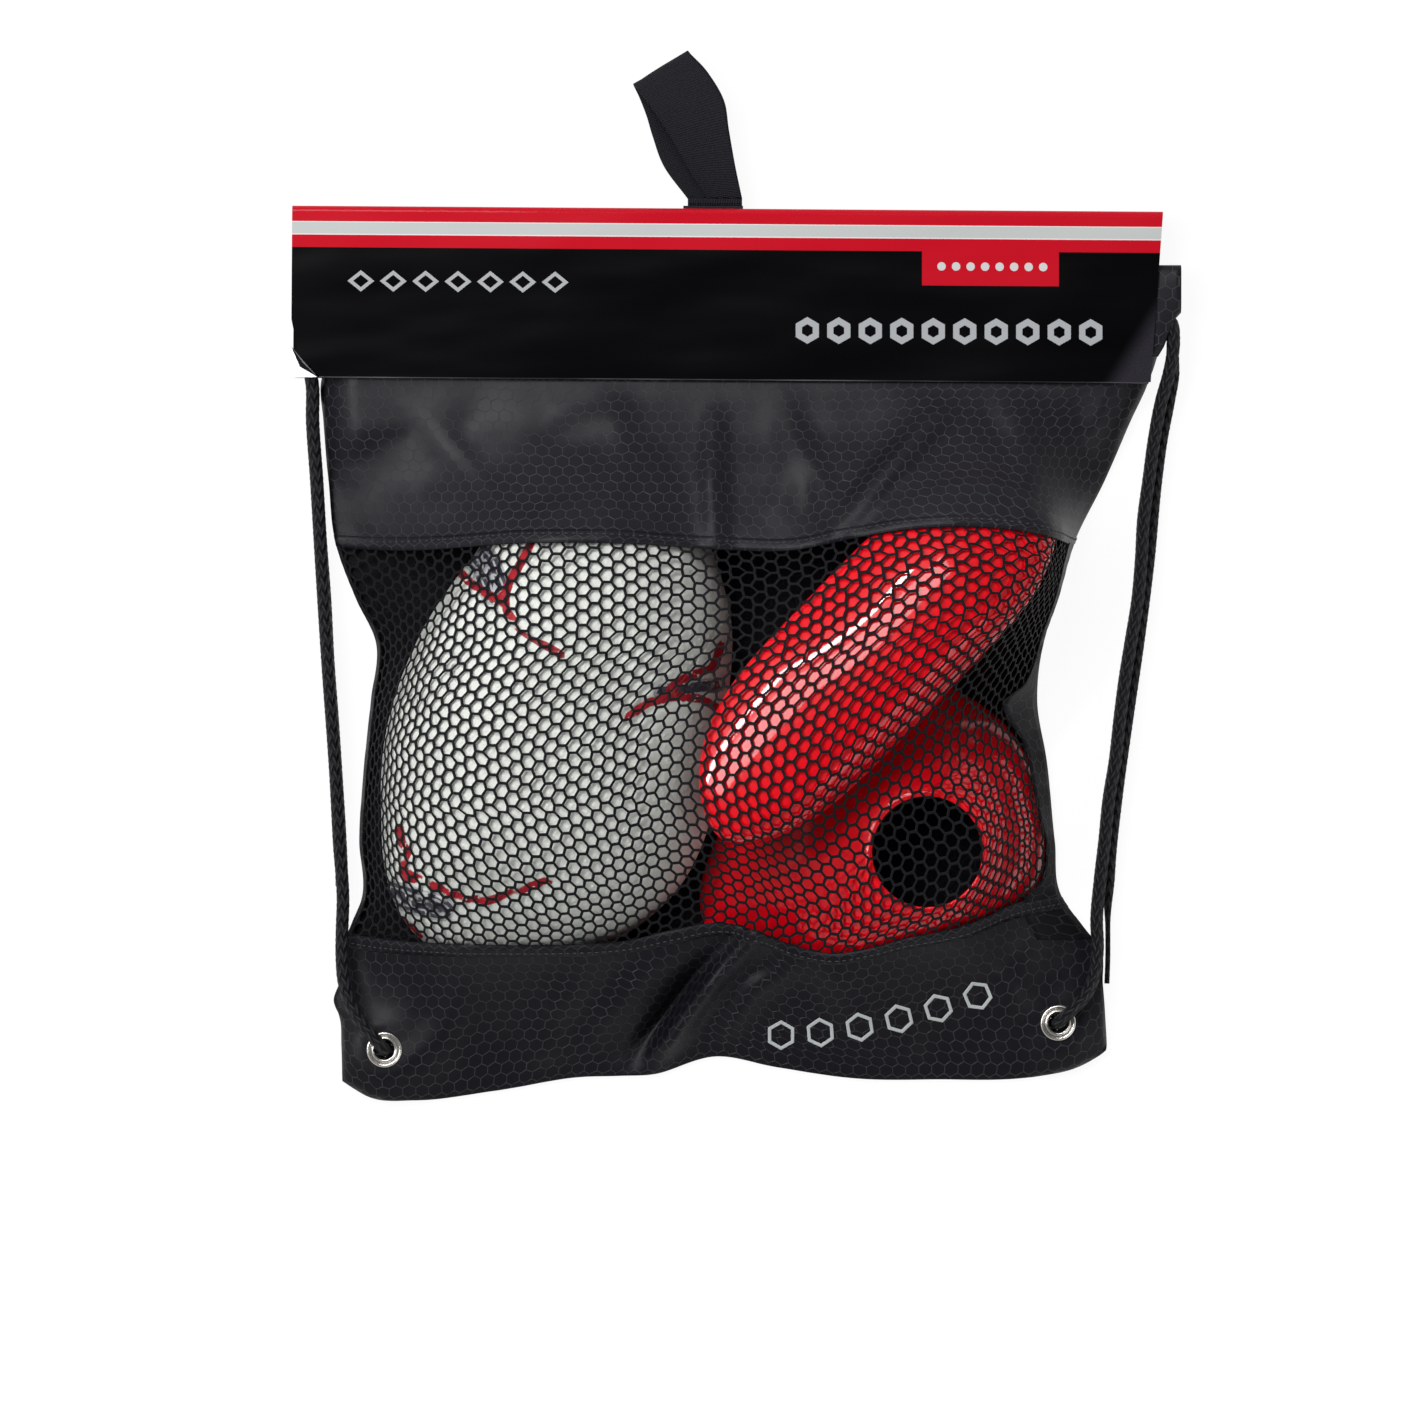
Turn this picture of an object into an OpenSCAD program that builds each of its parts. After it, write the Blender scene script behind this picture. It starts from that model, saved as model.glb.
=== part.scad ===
// Netball training pack, lying on its back: a drawstring bag with a mesh window, a header card
// over its mouth and a hanging loop. It holds a deflated netball and two soft marker cones.
// +X is the bag's right, +Y points to its mouth and +Z is up from the surface that it lies on.

/* [Bag] */
// Width that the shares of the bag's outline follow
bag_w = 400; // [360:1:440]
// Length that the shares of the bag's outline follow
bag_l = 375; // [340:1:410]
// Thickness of the bag's cloth
cloth_t = 0.8; // [0.5:0.1:1.2]
// Room between two layers that are sewn together
sewn_gap = 0.3; // [0.2:0.05:0.5]
// Gap between the mesh and the panels that it is sewn to
seam_gap = 1; // [0.8:0.1:1.4]
// Distance over which the front rises from a side seam
side_rise = 14; // [11:0.5:16]
// Distance over which the front rises from the bottom seam
bottom_rise = 60; // [50:1:66]
// Room between the contents and the cloth over them
drape_clearance = 3; // [2.5:0.1:5]
// Distance over which the cloth comes down beyond the contents
skirt_l = 30; // [24:1:36]

/* [Mesh window] */
// Thickness of the mesh
mesh_t = 1; // [0.6:0.1:1.4]
// Columns of cells, an even number
mesh_columns = 20; // [12:2:24]
// Cells in a full column
mesh_rows = 9; // [6:1:11]
// Share of a cell that is open
hole_share = 0.8; // [0.7:0.01:0.88]

/* [Channels and cords] */
// Height of a channel, flattened
channel_h = 8; // [7.6:0.1:9]
// Width of a channel, across the cords
channel_w = 35.5; // [34:0.5:38]
// Length of a channel
channel_l = 383.4; // [380:0.2:384]
// Diameter of a cord
cord_d = 6; // [5:0.1:6.2]
// Distance between the two cords in a channel
cord_pitch = 7.5; // [7:0.1:9]
// Diameter of the tail that ends the outer cord
cord_tail_d = 2.4; // [2:0.1:3]

/* [Eyelets] */
// Outer diameter of an eyelet
eyelet_d = 16; // [14:0.5:18]
// Diameter of its hole
eyelet_hole_d = 8.6; // [8:0.1:9.4]
// Thickness of its metal
eyelet_t = 0.5; // [0.4:0.1:0.7]
// Height of its rolled rim
rim_h = 1.6; // [1.2:0.1:2]
// Height that the knot behind an eyelet lifts the cloth
corner_lift = 8; // [7.6:0.1:9]

/* [Header card] */
// Width of the card
card_w = 390; // [380:1:394]
// Height of the card, from its fold to its lower edge
card_h = 76.5; // [70:0.5:84]
// Thickness of the card
card_t = 0.5; // [0.3:0.1:0.8]
// Turn of the card in plan, degrees
card_turn = -0.4; // [-0.5:0.1:0.2]
// Radius of its two creases
card_crease_r = 2.5; // [1.5:0.1:4]

/* [Hanging loop] */
// Thickness of the tape
tape_t = 1.2; // [0.8:0.1:1.4]
// Length of the loop beyond the card
loop_l = 66.5; // [56:0.5:76]
// Width that the shares of the loop follow
loop_w = 50; // [44:1:56]
// Height inside the loop, between its two legs
loop_inner_h = 8; // [7:0.2:9]

/* [Netball] */
// Diameter when inflated
ball_d = 222; // [210:1:226]
// Height of the deflated ball
ball_h = 74; // [68:1:76]
// Thickness of the pushed-in ball, both walls together
ball_fold_t = 11; // [10.5:0.1:12]
// Thickness of the rubber cover
cover_t = 2.5; // [2.2:0.1:2.8]
// Thickness of the cloth lining
lining_t = 0.8; // [0.6:0.1:1]
// Room between two layers of the ball
layer_gap = 0.3; // [0.2:0.05:0.4]
// Width of the groove between two cover panels
groove_w = 0.8; // [0.6:0.1:1.2]
// Diameter of the valve's neck
valve_d = 7; // [6:0.1:8]

/* [Marker cones] */
// Radius of a cone's rim when undistorted
cone_rim_r = 95; // [90:1:97]
// Height of a cone
cone_h = 50; // [46:1:52]
// Diameter of the hole in its top
cone_hole_d = 50; // [46:1:52]
// Thickness of its soft plastic
cone_t = 2; // [1.6:0.1:2.4]
// Height of the folded cone's top
folded_top = 78; // [72:0.5:80]

/* [Hidden] */
overrun = 1;
round_fn = 64;

// Outline of the bag in plan. Each row: height share, left edge share, right edge share
side_shares = [
    [-0.64, -0.443, 0.415], [-0.565, -0.443, 0.415], [-0.53, -0.443, 0.413],
    [-0.511, -0.452, 0.412], [-0.49, -0.446, 0.411], [-0.451, -0.443, 0.409],
    [-0.421, -0.433, 0.388], [-0.391, -0.42, 0.366], [-0.319, -0.422, 0.356],
    [-0.223, -0.416, 0.347], [-0.151, -0.409, 0.336], [-0.079, -0.404, 0.344],
    [-0.031, -0.426, 0.359], [0.041, -0.451, 0.379], [0.113, -0.458, 0.413],
    [0.185, -0.463, 0.442], [0.227, -0.466, 0.46], [0.275, -0.455, 0.474]
];
// Lower edge and the two seams of the mesh window. Each pair: share of the width, height share
bottom_shares = [
    [0, -0.607], [0.035, -0.625], [0.092, -0.63], [0.2, -0.619], [0.304, -0.602],
    [0.409, -0.598], [0.488, -0.577], [0.566, -0.59], [0.671, -0.604],
    [0.776, -0.605], [0.908, -0.601], [0.966, -0.588], [1, -0.571]
];
lower_seam_shares = [
    [0, -0.432], [0.068, -0.437], [0.185, -0.441], [0.3, -0.441], [0.38, -0.436],
    [0.439, -0.424], [0.517, -0.416], [0.557, -0.427], [0.596, -0.443],
    [0.643, -0.452], [0.693, -0.446], [0.751, -0.433], [0.81, -0.424],
    [0.868, -0.41], [0.928, -0.393], [1, -0.385]
];
upper_seam_shares = [
    [0, 0.032], [0.085, 0.028], [0.26, 0.034], [0.41, 0.033], [0.53, 0.027],
    [0.62, 0.026], [0.7, 0.04], [0.77, 0.05], [0.85, 0.053], [0.93, 0.047], [1, 0.035]
];

// Plan radius of the deflated ball every 30 degrees from +X, as shares of its diameter
ball_plan_shares = [
    0.351, 0.405, 0.475, 0.45, 0.336, 0.304, 0.326, 0.405, 0.55, 0.523, 0.462, 0.379
];
// Plan radius of the dished cone's rim every 30 degrees, as shares of its true radius
rim_plan_shares = [
    0.83, 0.8, 0.74, 0.79, 0.79, 0.74, 0.7, 0.93, 0.95, 0.86, 0.88, 0.88
];

// The hanging loop's stations, from the front leg's foot over the fold to the back leg's foot.
// Each: left edge, right edge (share of loop_w, share of loop_l), height share, lean of the face
loop_shares = [
    [[0.05, 0.03], [0.61, 0.03], 0.16, 0], [[-0.23, 0.21], [0.5, 0.24], 0.42, 0],
    [[-0.58, 0.46], [0.4, 0.48], 0.58, 0], [[-0.84, 0.63], [0.32, 0.68], 0.56, 10],
    [[-1.03, 0.74], [0.06, 0.87], 0.38, 35], [[-1.11, 0.78], [-0.2, 0.99], 0.16, 65],
    [[-1.13, 0.79], [-0.26, 1.02], 0, 90],
    [[-1.11, 0.77], [-0.22, 0.98], -0.16, 115], [[-1.03, 0.7], [0, 0.84], -0.38, 145],
    [[-0.92, 0.58], [0.22, 0.66], -0.56, 170], [[-0.82, 0.44], [0.28, 0.46], -0.58, 180],
    [[-0.64, 0.24], [0.34, 0.24], -0.42, 180], [[-0.26, 0.03], [0.52, 0.03], -0.16, 180]
];

// Routes of the free cords, points chosen by hand, millimetres
left_front_route = [
    [-184.3, 108.5, 13.1], [-188.5, 108, 13.1], [-191.8, 105.5, 13], [-193, 101, 12.8],
    [-192.5, 95, 12.4], [-190.6, 86, 11.6], [-190.4, 69.5, 10.4], [-188.6, 42.5, 9.8],
    [-187, 15.5, 9.7], [-183.6, -38.5, 9.7],
    [-179.8, -92.5, 9.7], [-178.4, -119.5, 9.7], [-176.6, -146.5, 9.9], [-177, -160, 10.6], [-177, -172, 12],
    [-176, -183, 13.2], [-173.4, -192, 14.2], [-169, -200, 15.4],
    [-165, -205, 16.6], [-161.4, -209, 16.8], [-159, -212, 15.2],
    [-158, -213.3, 12], [-158, -213.3, 7.2]
];
left_rear_route = [
    [-184.3, 108.5, 4.8], [-188.5, 108, 4.8], [-191.8, 105.5, 4.8], [-193, 101, 4.7],
    [-192.5, 95, 4.4], [-190.6, 86, 4], [-190.4, 69.5, 3.3], [-188.6, 42.5, 3.3],
    [-187, 15.5, 3.3], [-185, -11.5, 3.3], [-183.6, -38.5, 3.3], [-181.6, -65.5, 3.3],
    [-179.8, -92.5, 3.3], [-178.4, -115, 3.3], [-177.6, -132, 3.3], [-177.4, -140, 3.3]
];
right_front_route = [
    [187.5, 116, 13.1], [192, 115.4, 13.1], [195, 112.5, 13], [196, 106, 12.6],
    [195.5, 98, 12], [194, 90, 11.4], [190.8, 78.5, 10.6], [187.4, 60.5, 10],
    [185, 42.5, 9.8], [182.6, 24.5, 9.7], [181.6, 6.5, 9.7], [180, -11.5, 9.7],
    [177.1, -29.5, 9.7], [174.2, -47.5, 9.7], [171.9, -65.5, 9.7], [169.9, -83.5, 9.7],
    [167, -101.5, 9.7], [165.2, -119.5, 9.7], [163.1, -137.5, 9.7], [161.6, -155.5, 9.6],
    [162, -168, 9.4], [160.7, -178.9, 9.8], [155.5, -190.1, 14.4], [151.5, -194.2, 16.6],
    [147.6, -197.9, 16.8], [145.2, -200.3, 15.2], [144.2, -201.3, 12], [144.2, -201.3, 7.2]
];
right_rear_route = [
    [187.5, 116, 4.8], [192, 115.4, 4.8], [195, 112.5, 4.8], [196, 106, 4.8],
    [196, 98, 4.6], [196.2, 90, 4.2], [194.4, 78.5, 3.6], [191, 60.5, 3.3],
    [188.6, 42.5, 3.3], [185.2, 6.5, 3.3], [180.7, -29.5, 3.3], [175.5, -65.5, 3.3],
    [170.6, -101.5, 3.3], [167.8, -128, 3.3], [166.9, -148, 3.1], [167, -162, 2],
    [167, -172, 1.6], [166.6, -184, 1.6]
];

// Places in plan, as shares of the bag's width and length
eyelet_shares = [[-0.395, -0.5688], [0.3605, -0.5368]];
ball_share = [-0.2043, -0.1531];
dished_rim_share = [0.15, -0.2933];
dished_hole_share = [0.212, -0.3307];
folded_cone_share = [0.14, -0.0997];
function in_bag(share) = [share[0] * bag_w, share[1] * bag_l];
eyelet_places = [for (share = eyelet_shares) in_bag(share)];
ball_place = in_bag(ball_share);
dished_rim_place = in_bag(dished_rim_share);
dished_hole_place = in_bag(dished_hole_share);
folded_place = in_bag(folded_cone_share);
folded_turn = 46;
// Half length and half width of the folded cone, as shares of a cone's rim radius
folded_shares = [1.116, 0.4];
// The ball and the cones are soft, and are squeezed to fit side by side in the bag
rim_overlap = 12;
squeeze = min(1, bag_w / (ball_d + 2 * cone_rim_r - rim_overlap));
folded_half_l = squeeze * folded_shares[0] * cone_rim_r;
folded_half_w = squeeze * folded_shares[1] * cone_rim_r;
// How far the folded cone sinks towards its two ends, as a share of its height
far_drop = 0.3;
near_drop = 0.05;
function end_drop(s) = s > 0 ? far_drop * s * s : near_drop * pow(-s, 3);

// Levels
cord_r = cord_d / 2;
front_seam_z = cloth_t + sewn_gap;
channel_y_share = 0.2755;
channel_y = channel_y_share * bag_l;
// How far the right end of the channels stands out beyond the left one
channel_shift = 7.7;
channel_left = channel_shift - channel_l / 2;
// Part of the channels that is cut away where the right cords leave
exit_l = 15.9;
exit_x = channel_left + channel_l - exit_l;
cord_start_l = 3.6;
right_cord_exit_x = exit_x + cord_start_l;
channel_wall = 0.7;
rear_channel_z = cloth_t;
front_channel_z = rear_channel_z + channel_h + sewn_gap;
front_channel_top = front_channel_z + channel_h;
rear_cord_z = rear_channel_z + channel_h / 2;
front_cord_z = front_channel_z + channel_h / 2;
low_cord_y = channel_y + cord_r + channel_wall + cord_r / 2;
high_cord_y = low_cord_y + cord_pitch;
card_front_z = front_channel_top + sewn_gap;
card_top_z = card_front_z + card_t;
card_fold_share = 0.44;
card_fold_y = card_fold_share * bag_l;
card_low_y = card_fold_y - card_h;
card_shift = 4;
card_left = -card_w / 2 - card_shift;
loop_z = card_top_z / 2;
hinge_r = tape_t + layer_gap;
hinge_y = card_fold_y + hinge_r + 2 * layer_gap;
panel_top_y = channel_y - sewn_gap;
panel_top_z = front_channel_top - channel_wall - sewn_gap - cloth_t;

function mix(a, b, t) = a + (b - a) * t;
function limit(v, low, high) = min(high, max(low, v));
function ease(t) = let(c = limit(t, 0, 1)) c * c * (3 - 2 * c);
function column(table, k) = [for (row = table) [row[0], row[k]]];
function left_edge(y) = bag_w * lookup(y / bag_l, column(side_shares, 1));
function right_edge(y) = bag_w * lookup(y / bag_l, column(side_shares, 2));
function seam_y(shares, u) = bag_l * lookup(u, shares);

// A smooth closed curve through the shares, which stand at even angles
function ring_share(shares, angle) =
    let(n = len(shares), f = angle / 360 * n, k = floor(f), t = f - k,
        p0 = shares[(k + 2 * n - 1) % n], p1 = shares[(k + n) % n],
        p2 = shares[(k + n + 1) % n], p3 = shares[(k + n + 2) % n])
    p1 + t * ((p2 - p0) + t * ((2 * p0 - 5 * p1 + 4 * p2 - p3)
        + t * (3 * (p1 - p2) + p3 - p0))) / 2;

// Height of the cloth over the contents
rounding = 2.4;
fold_rounding = 3;
ball_mid_z = cloth_t + sewn_gap + ball_fold_t / 2;
function ball_plan_r(angle) = squeeze * ball_d * ring_share(ball_plan_shares, (angle + 360) % 360);
// Each dome of cloth ends in a straight skirt, which leaves the dome where it touches it
function swell(distance, r, n) =
    let(share = distance / r, foot = 1 + skirt_l / r, touch = pow(foot, -1 / (n - 1)),
        top = pow(1 - pow(touch, n), 1 / n))
    share < touch ? pow(1 - pow(share, n), 1 / n) : max(0, top * (foot - share) / (foot - touch));
function over_ball(x, y) =
    let(d = [x, y] - ball_place)
    (ball_h + drape_clearance)
        * swell(norm(d), ball_plan_r(atan2(d[1], d[0])) + 2 * drape_clearance, rounding);
// Room that the cloth leaves beyond the folded cone's ends and sides
folded_room = [6 * drape_clearance, 5 * drape_clearance];
left_drop = 0.15;
function over_folded(x, y) =
    let(d = [x, y] - folded_place, a = atan2(d[1], d[0]) - folded_turn,
        half_l = folded_half_l + folded_room[0], half_w = folded_half_w + folded_room[1],
        r = 1 / pow(pow(abs(cos(a)) / half_l, fold_rounding)
            + pow(abs(sin(a)) / half_w, fold_rounding), 1 / fold_rounding),
        along = norm(d) * cos(a) / (half_l + folded_room[0]), across = norm(d) * sin(a) / half_w)
    (folded_top * (1 - end_drop(along) - left_drop * ease(across)) + 2 * drape_clearance)
        * swell(norm(d), r, fold_rounding);
// How far down the open cone a place in plan is: 0 at its hole and 1 at its rim
dished_tries = 5;
dished_margin = 0.2;
function dished_rim_r(angle) =
    squeeze * cone_rim_r * ring_share(rim_plan_shares, (angle + 360) % 360);
function dished_level(p, level = 0.5, k = dished_tries) =
    let(d = p - mix(dished_hole_place, dished_rim_place, level), hole_r = cone_hole_d / 2,
        next = (norm(d) - hole_r) / (dished_rim_r(atan2(d[1], d[0])) - hole_r))
    k == 0 ? next : dished_level(p, limit(next, 0, 1), k - 1);
function dished_fall(level) = mix(pow(level, 1.25), level, 0.5);
function over_dished(x, y) =
    let(level = limit(dished_level([x, y]) - dished_margin, 0, 1))
    (cone_h + 3 * drape_clearance) * (1 - dished_fall(level));
// Between the ball and the folded cone the cloth is drawn across, and clears both
bridge_share = [0.03, -0.02];
bridge_r_share = 0.31;
bridge_h_share = 0.65;
function over_bridge(x, y) =
    bridge_h_share * ball_h * swell(norm([x, y] - in_bag(bridge_share)), bridge_r_share * ball_d, rounding);
// The main fold of the bottom panel runs from the net down to the lower edge
fold_shares = [[0.03, -0.41], [-0.12, -0.6]];
fold_reach_share = 0.04;
fold_rise_share = 0.03;
function over_fold(x, y) =
    let(a = in_bag(fold_shares[0]), b = in_bag(fold_shares[1]), run = b - a,
        f = limit(([x, y] - a) * run / (run * run), 0, 1), d = norm([x, y] - a - f * run))
    fold_rise_share * bag_l * ease(1 - d / (fold_reach_share * bag_w));
function over_mouth(y) =
    mix(2 * drape_clearance, panel_top_z - front_seam_z, ease((y - card_low_y / 3) / (card_h / 2)));
function power_sum(list, p, k = 0) = k == len(list) ? 0 : pow(list[k], p) + power_sum(list, p, k + 1);
function side_lift(x, y) =
    let(d = min(x - left_edge(y), right_edge(y) - x), c = limit(1 - d / side_rise, 0, 1))
    1 - c * c;
function bottom_lift(u, y) =
    let(c = limit(1 - (y - seam_y(bottom_shares, u)) / bottom_rise, 0, 1)) 1 - pow(c, 1.6);
corner_flat_r = eyelet_d / 2 + 2 * eyelet_t + 3 * sewn_gap;
corner_slope = eyelet_d / 2;
corner_top = corner_lift + cloth_t + 2 * cloth_t;
function corner_r(x, y) = min([for (p = eyelet_places) norm([x, y] - p)]);
function corner_hump(r) =
    (corner_top - front_seam_z) * limit(1 - (r - corner_flat_r - 3 * cloth_t) / (2 * corner_slope), 0, 1);
function cloth_z(u, x, y) =
    let(r = corner_r(x, y), open = limit((r - corner_flat_r) / (2 * corner_flat_r), 0, 1),
        fade = 1 - ease((y - card_low_y + card_h / 3) / (card_h / 4)),
        high = pow(power_sum([fade * over_ball(x, y), fade * over_folded(x, y),
                              fade * over_dished(x, y), fade * over_bridge(x, y), over_mouth(y)],
                             5), 1 / 5))
    front_seam_z + max(corner_hump(r),
                       side_lift(x, y) * bottom_lift(u, y) * open * (high + over_fold(x, y)));

// A point on the front of the bag: u runs across it and y up it
function front_point(u, y) =
    let(x = mix(left_edge(y), right_edge(y), u)) [x, y, cloth_z(u, x, y)];
// How much taller than its thickness a sloping sheet stands
function stretch(u, y) =
    let(p = front_point(u, y), e = 0.004,
        a = front_point(u + e, y) - front_point(u - e, y),
        b = front_point(u, y + e * bag_l) - front_point(u, y - e * bag_l),
        n = cross(a, b))
    min(2.5, norm(n) / max(abs(n[2]), norm(n) / 4));

// A closed sheet from a grid of lower points and a grid of upper points
function grid_faces(rows, cols, base, flip) = [
    for (i = [0 : rows - 2], j = [0 : cols - 2], half = [0, 1])
        let(a = base + i * cols + j, b = a + 1, c = a + cols + 1, d = a + cols,
            tri = half == 0 ? [a, b, c] : [a, c, d])
        flip ? [tri[2], tri[1], tri[0]] : tri
];
function edge_faces(rows, cols, count) =
    let(loop = concat([for (j = [0 : cols - 1]) j],
                      [for (i = [1 : rows - 1]) i * cols + cols - 1],
                      [for (j = [cols - 2 : -1 : 0]) (rows - 1) * cols + j],
                      [for (i = [rows - 2 : -1 : 1]) i * cols]),
        n = len(loop))
    [for (k = [0 : n - 1], half = [0, 1])
        let(a = loop[k], b = loop[(k + 1) % n])
        half == 0 ? [a, b + count, a + count] : [a, b, b + count]];
module sheet(lower, upper, rows, cols) {
    polyhedron(points = concat(lower, upper),
               faces = concat(grid_faces(rows, cols, 0, true),
                              grid_faces(rows, cols, rows * cols, false),
                              edge_faces(rows, cols, rows * cols)));
}

// Columns lie closer together near the side seams, where the cloth is steep
panel_columns = 30;
function spread(k, n) = mix(k / n, (1 - cos(180 * k / n)) / 2, 0.6);

// A solid cloth panel between two lines across the bag
module cloth_panel(upper_y, lower_y, rows) {
    us = [for (j = [0 : panel_columns]) spread(j, panel_columns)];
    places = [for (i = [0 : rows], j = [0 : panel_columns])
        [us[j], mix(upper_y[j], lower_y[j], i / rows)]];
    lower = [for (p = places) front_point(p[0], p[1])];
    upper = [for (k = [0 : len(places) - 1])
        lower[k] + [0, 0, cloth_t * stretch(places[k][0], places[k][1])]];
    sheet(lower, upper, rows + 1, panel_columns + 1);
}

module eyelet_holes(r) {
    for (p = eyelet_places) {
        translate([p[0], p[1], -overrun]) cylinder(r = r, h = corner_top + 4 * overrun, $fn = round_fn);
    }
}

barrel_r = eyelet_hole_d / 2 + eyelet_t;
panel_hole_r = barrel_r + sewn_gap;

// The flat back of the bag, lifted at its two lower corners by the knots behind the eyelets
module back_panel() {
    side_rows = [for (r = side_shares) if (r[0] > -0.57 && r[0] * bag_l < card_low_y - cord_d) r];
    left = [for (r = side_rows) [r[1] * bag_w, r[0] * bag_l]];
    right = [for (k = [len(side_rows) - 1 : -1 : 0])
        [side_rows[k][2] * bag_w, side_rows[k][0] * bag_l]];
    top_y = card_low_y + card_w * sin(card_turn) - sewn_gap;
    low = [for (k = [len(bottom_shares) - 1 : -1 : 0])
        [mix(left_edge(-0.6 * bag_l), right_edge(-0.6 * bag_l), bottom_shares[k][0]),
         bottom_shares[k][1] * bag_l]];
    outline = concat(left, [[left_edge(top_y), top_y], [right_edge(top_y), top_y]], right, low);
    hump_r = corner_flat_r + corner_slope - 2;
    color("#26262b") difference() {
        union() {
            difference() {
                linear_extrude(cloth_t) polygon(outline);
                for (p = eyelet_places) {
                    translate([p[0], p[1], -overrun])
                        cylinder(r = hump_r - cloth_t, h = cloth_t + 2 * overrun, $fn = round_fn);
                }
            }
            for (p = eyelet_places) {
                translate([p[0], p[1], 0]) rotate_extrude($fn = round_fn) polygon([
                    [0, corner_lift], [corner_flat_r - cloth_t, corner_lift], [hump_r - cloth_t, 0],
                    [hump_r, 0], [hump_r, cloth_t], [corner_flat_r, corner_lift + cloth_t],
                    [0, corner_lift + cloth_t]]);
            }
        }
        eyelet_holes(panel_hole_r);
    }
}

module front_top_panel() {
    us = [for (j = [0 : panel_columns]) spread(j, panel_columns)];
    color("#2b2b31") cloth_panel([for (u = us) panel_top_y],
        [for (u = us) seam_y(upper_seam_shares, u) + seam_gap / 2], 9);
}

module front_bottom_panel() {
    us = [for (j = [0 : panel_columns]) spread(j, panel_columns)];
    color("#2b2b31") difference() {
        cloth_panel([for (u = us) seam_y(lower_seam_shares, u) - seam_gap / 2],
            [for (u = us) seam_y(bottom_shares, u)], 11);
        eyelet_holes(panel_hole_r);
    }
}

// The mesh window, an open net of six-sided cells in columns
mesh_lines = 2 * mesh_rows + 1;
function mesh_uv(c, k) =
    let(edge = c == 0 || c == mesh_columns, side = (k + c) % 2 == 1 ? -1 : 1)
    [(c + (edge ? 0 : side / 6)) / mesh_columns, k / (2 * mesh_rows)];
function mesh_point(uv) =
    front_point(uv[0], mix(seam_y(upper_seam_shares, uv[0]) - seam_gap / 2,
                           seam_y(lower_seam_shares, uv[0]) + seam_gap / 2, uv[1]));
function mesh_lift(uv) =
    stretch(uv[0], mix(seam_y(upper_seam_shares, uv[0]), seam_y(lower_seam_shares, uv[0]), uv[1]));
mesh_cells = [for (c = [0 : mesh_columns - 1], r = [0 : mesh_rows - 1 - c % 2]) [c, 2 * r + c % 2]];
function cell_corners(cell) =
    let(c = cell[0], k = cell[1])
    [[c, k], [c, k + 1], [c, k + 2], [c + 1, k + 2], [c + 1, k + 1], [c + 1, k]];
function average(list, k = 0) = k == len(list) ? [0, 0] : list[k] / len(list) + average(list, k + 1);
function mesh_index(ck) = ck[0] * mesh_lines + ck[1];

module mesh_window() {
    lattice = [for (c = [0 : mesh_columns], k = [0 : mesh_lines - 1]) mesh_uv(c, k)];
    holes = [for (cell = mesh_cells)
        let(ring = [for (q = cell_corners(cell)) mesh_uv(q[0], q[1])], mid = average(ring))
        for (q = ring) mix(mid, q, hole_share)];
    places = concat(lattice, holes);
    count = len(places);
    first_hole = len(lattice);
    lower = [for (p = places) mesh_point(p)];
    upper = [for (k = [0 : count - 1]) lower[k] + [0, 0, mesh_t * mesh_lift(places[k])]];
    strands = [for (n = [0 : len(mesh_cells) - 1], i = [0 : 5])
        let(ring = cell_corners(mesh_cells[n]), j = (i + 1) % 6,
            a = mesh_index(ring[i]), b = mesh_index(ring[j]),
            c = first_hole + 6 * n + j, d = first_hole + 6 * n + i)
        each [[a, b, c], [a, c, d]]];
    ends = [for (c = [1 : 2 : mesh_columns - 1], k = [0, mesh_lines - 2])
        let(a = mesh_index([c, k]), b = mesh_index([c, k + 1]),
            d = mesh_index([c + 1, k]), e = mesh_index([c + 1, k + 1]))
        each [[a, b, e], [a, e, d]]];
    flat = concat(strands, ends);
    rim = concat([for (k = [0 : mesh_lines - 1]) mesh_index([0, k])],
                 [for (c = [1 : mesh_columns]) mesh_index([c, mesh_lines - 1])],
                 [for (k = [mesh_lines - 2 : -1 : 0]) mesh_index([mesh_columns, k])],
                 [for (c = [mesh_columns - 1 : -1 : 1]) mesh_index([c, 0])]);
    rim_walls = [for (k = [0 : len(rim) - 1])
        let(a = rim[k], b = rim[(k + 1) % len(rim)])
        each [[b, a, a + count], [b, a + count, b + count]]];
    hole_walls = [for (n = [0 : len(mesh_cells) - 1], i = [0 : 5])
        let(a = first_hole + 6 * n + i, b = first_hole + 6 * n + (i + 1) % 6)
        each [[a, b, b + count], [a, b + count, a + count]]];
    color("#1d1d20") polyhedron(
        points = concat(lower, upper),
        faces = concat([for (f = flat) [f[0], f[1], f[2]]],
                       [for (f = flat) [f[2] + count, f[1] + count, f[0] + count]],
                       rim_walls, hole_walls));
}

// The two channels at the bag's mouth, which the cords run through
module channel_profile(flap_low) {
    r = channel_h / 2;
    difference() {
        union() {
            translate([channel_y + r, 0]) square([channel_w - channel_h, channel_h]);
            for (y = [r, channel_w - r]) {
                translate([channel_y + y, r]) circle(r = r, $fn = round_fn);
            }
            translate([flap_low, 0]) square([channel_y + r - flap_low, channel_wall]);
        }
        translate([channel_y + r, channel_wall])
            square([channel_w - channel_h, channel_h - 2 * channel_wall]);
        for (y = [r, channel_w - r]) {
            translate([channel_y + y, r]) circle(r = r - channel_wall, $fn = round_fn);
        }
    }
}

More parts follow.
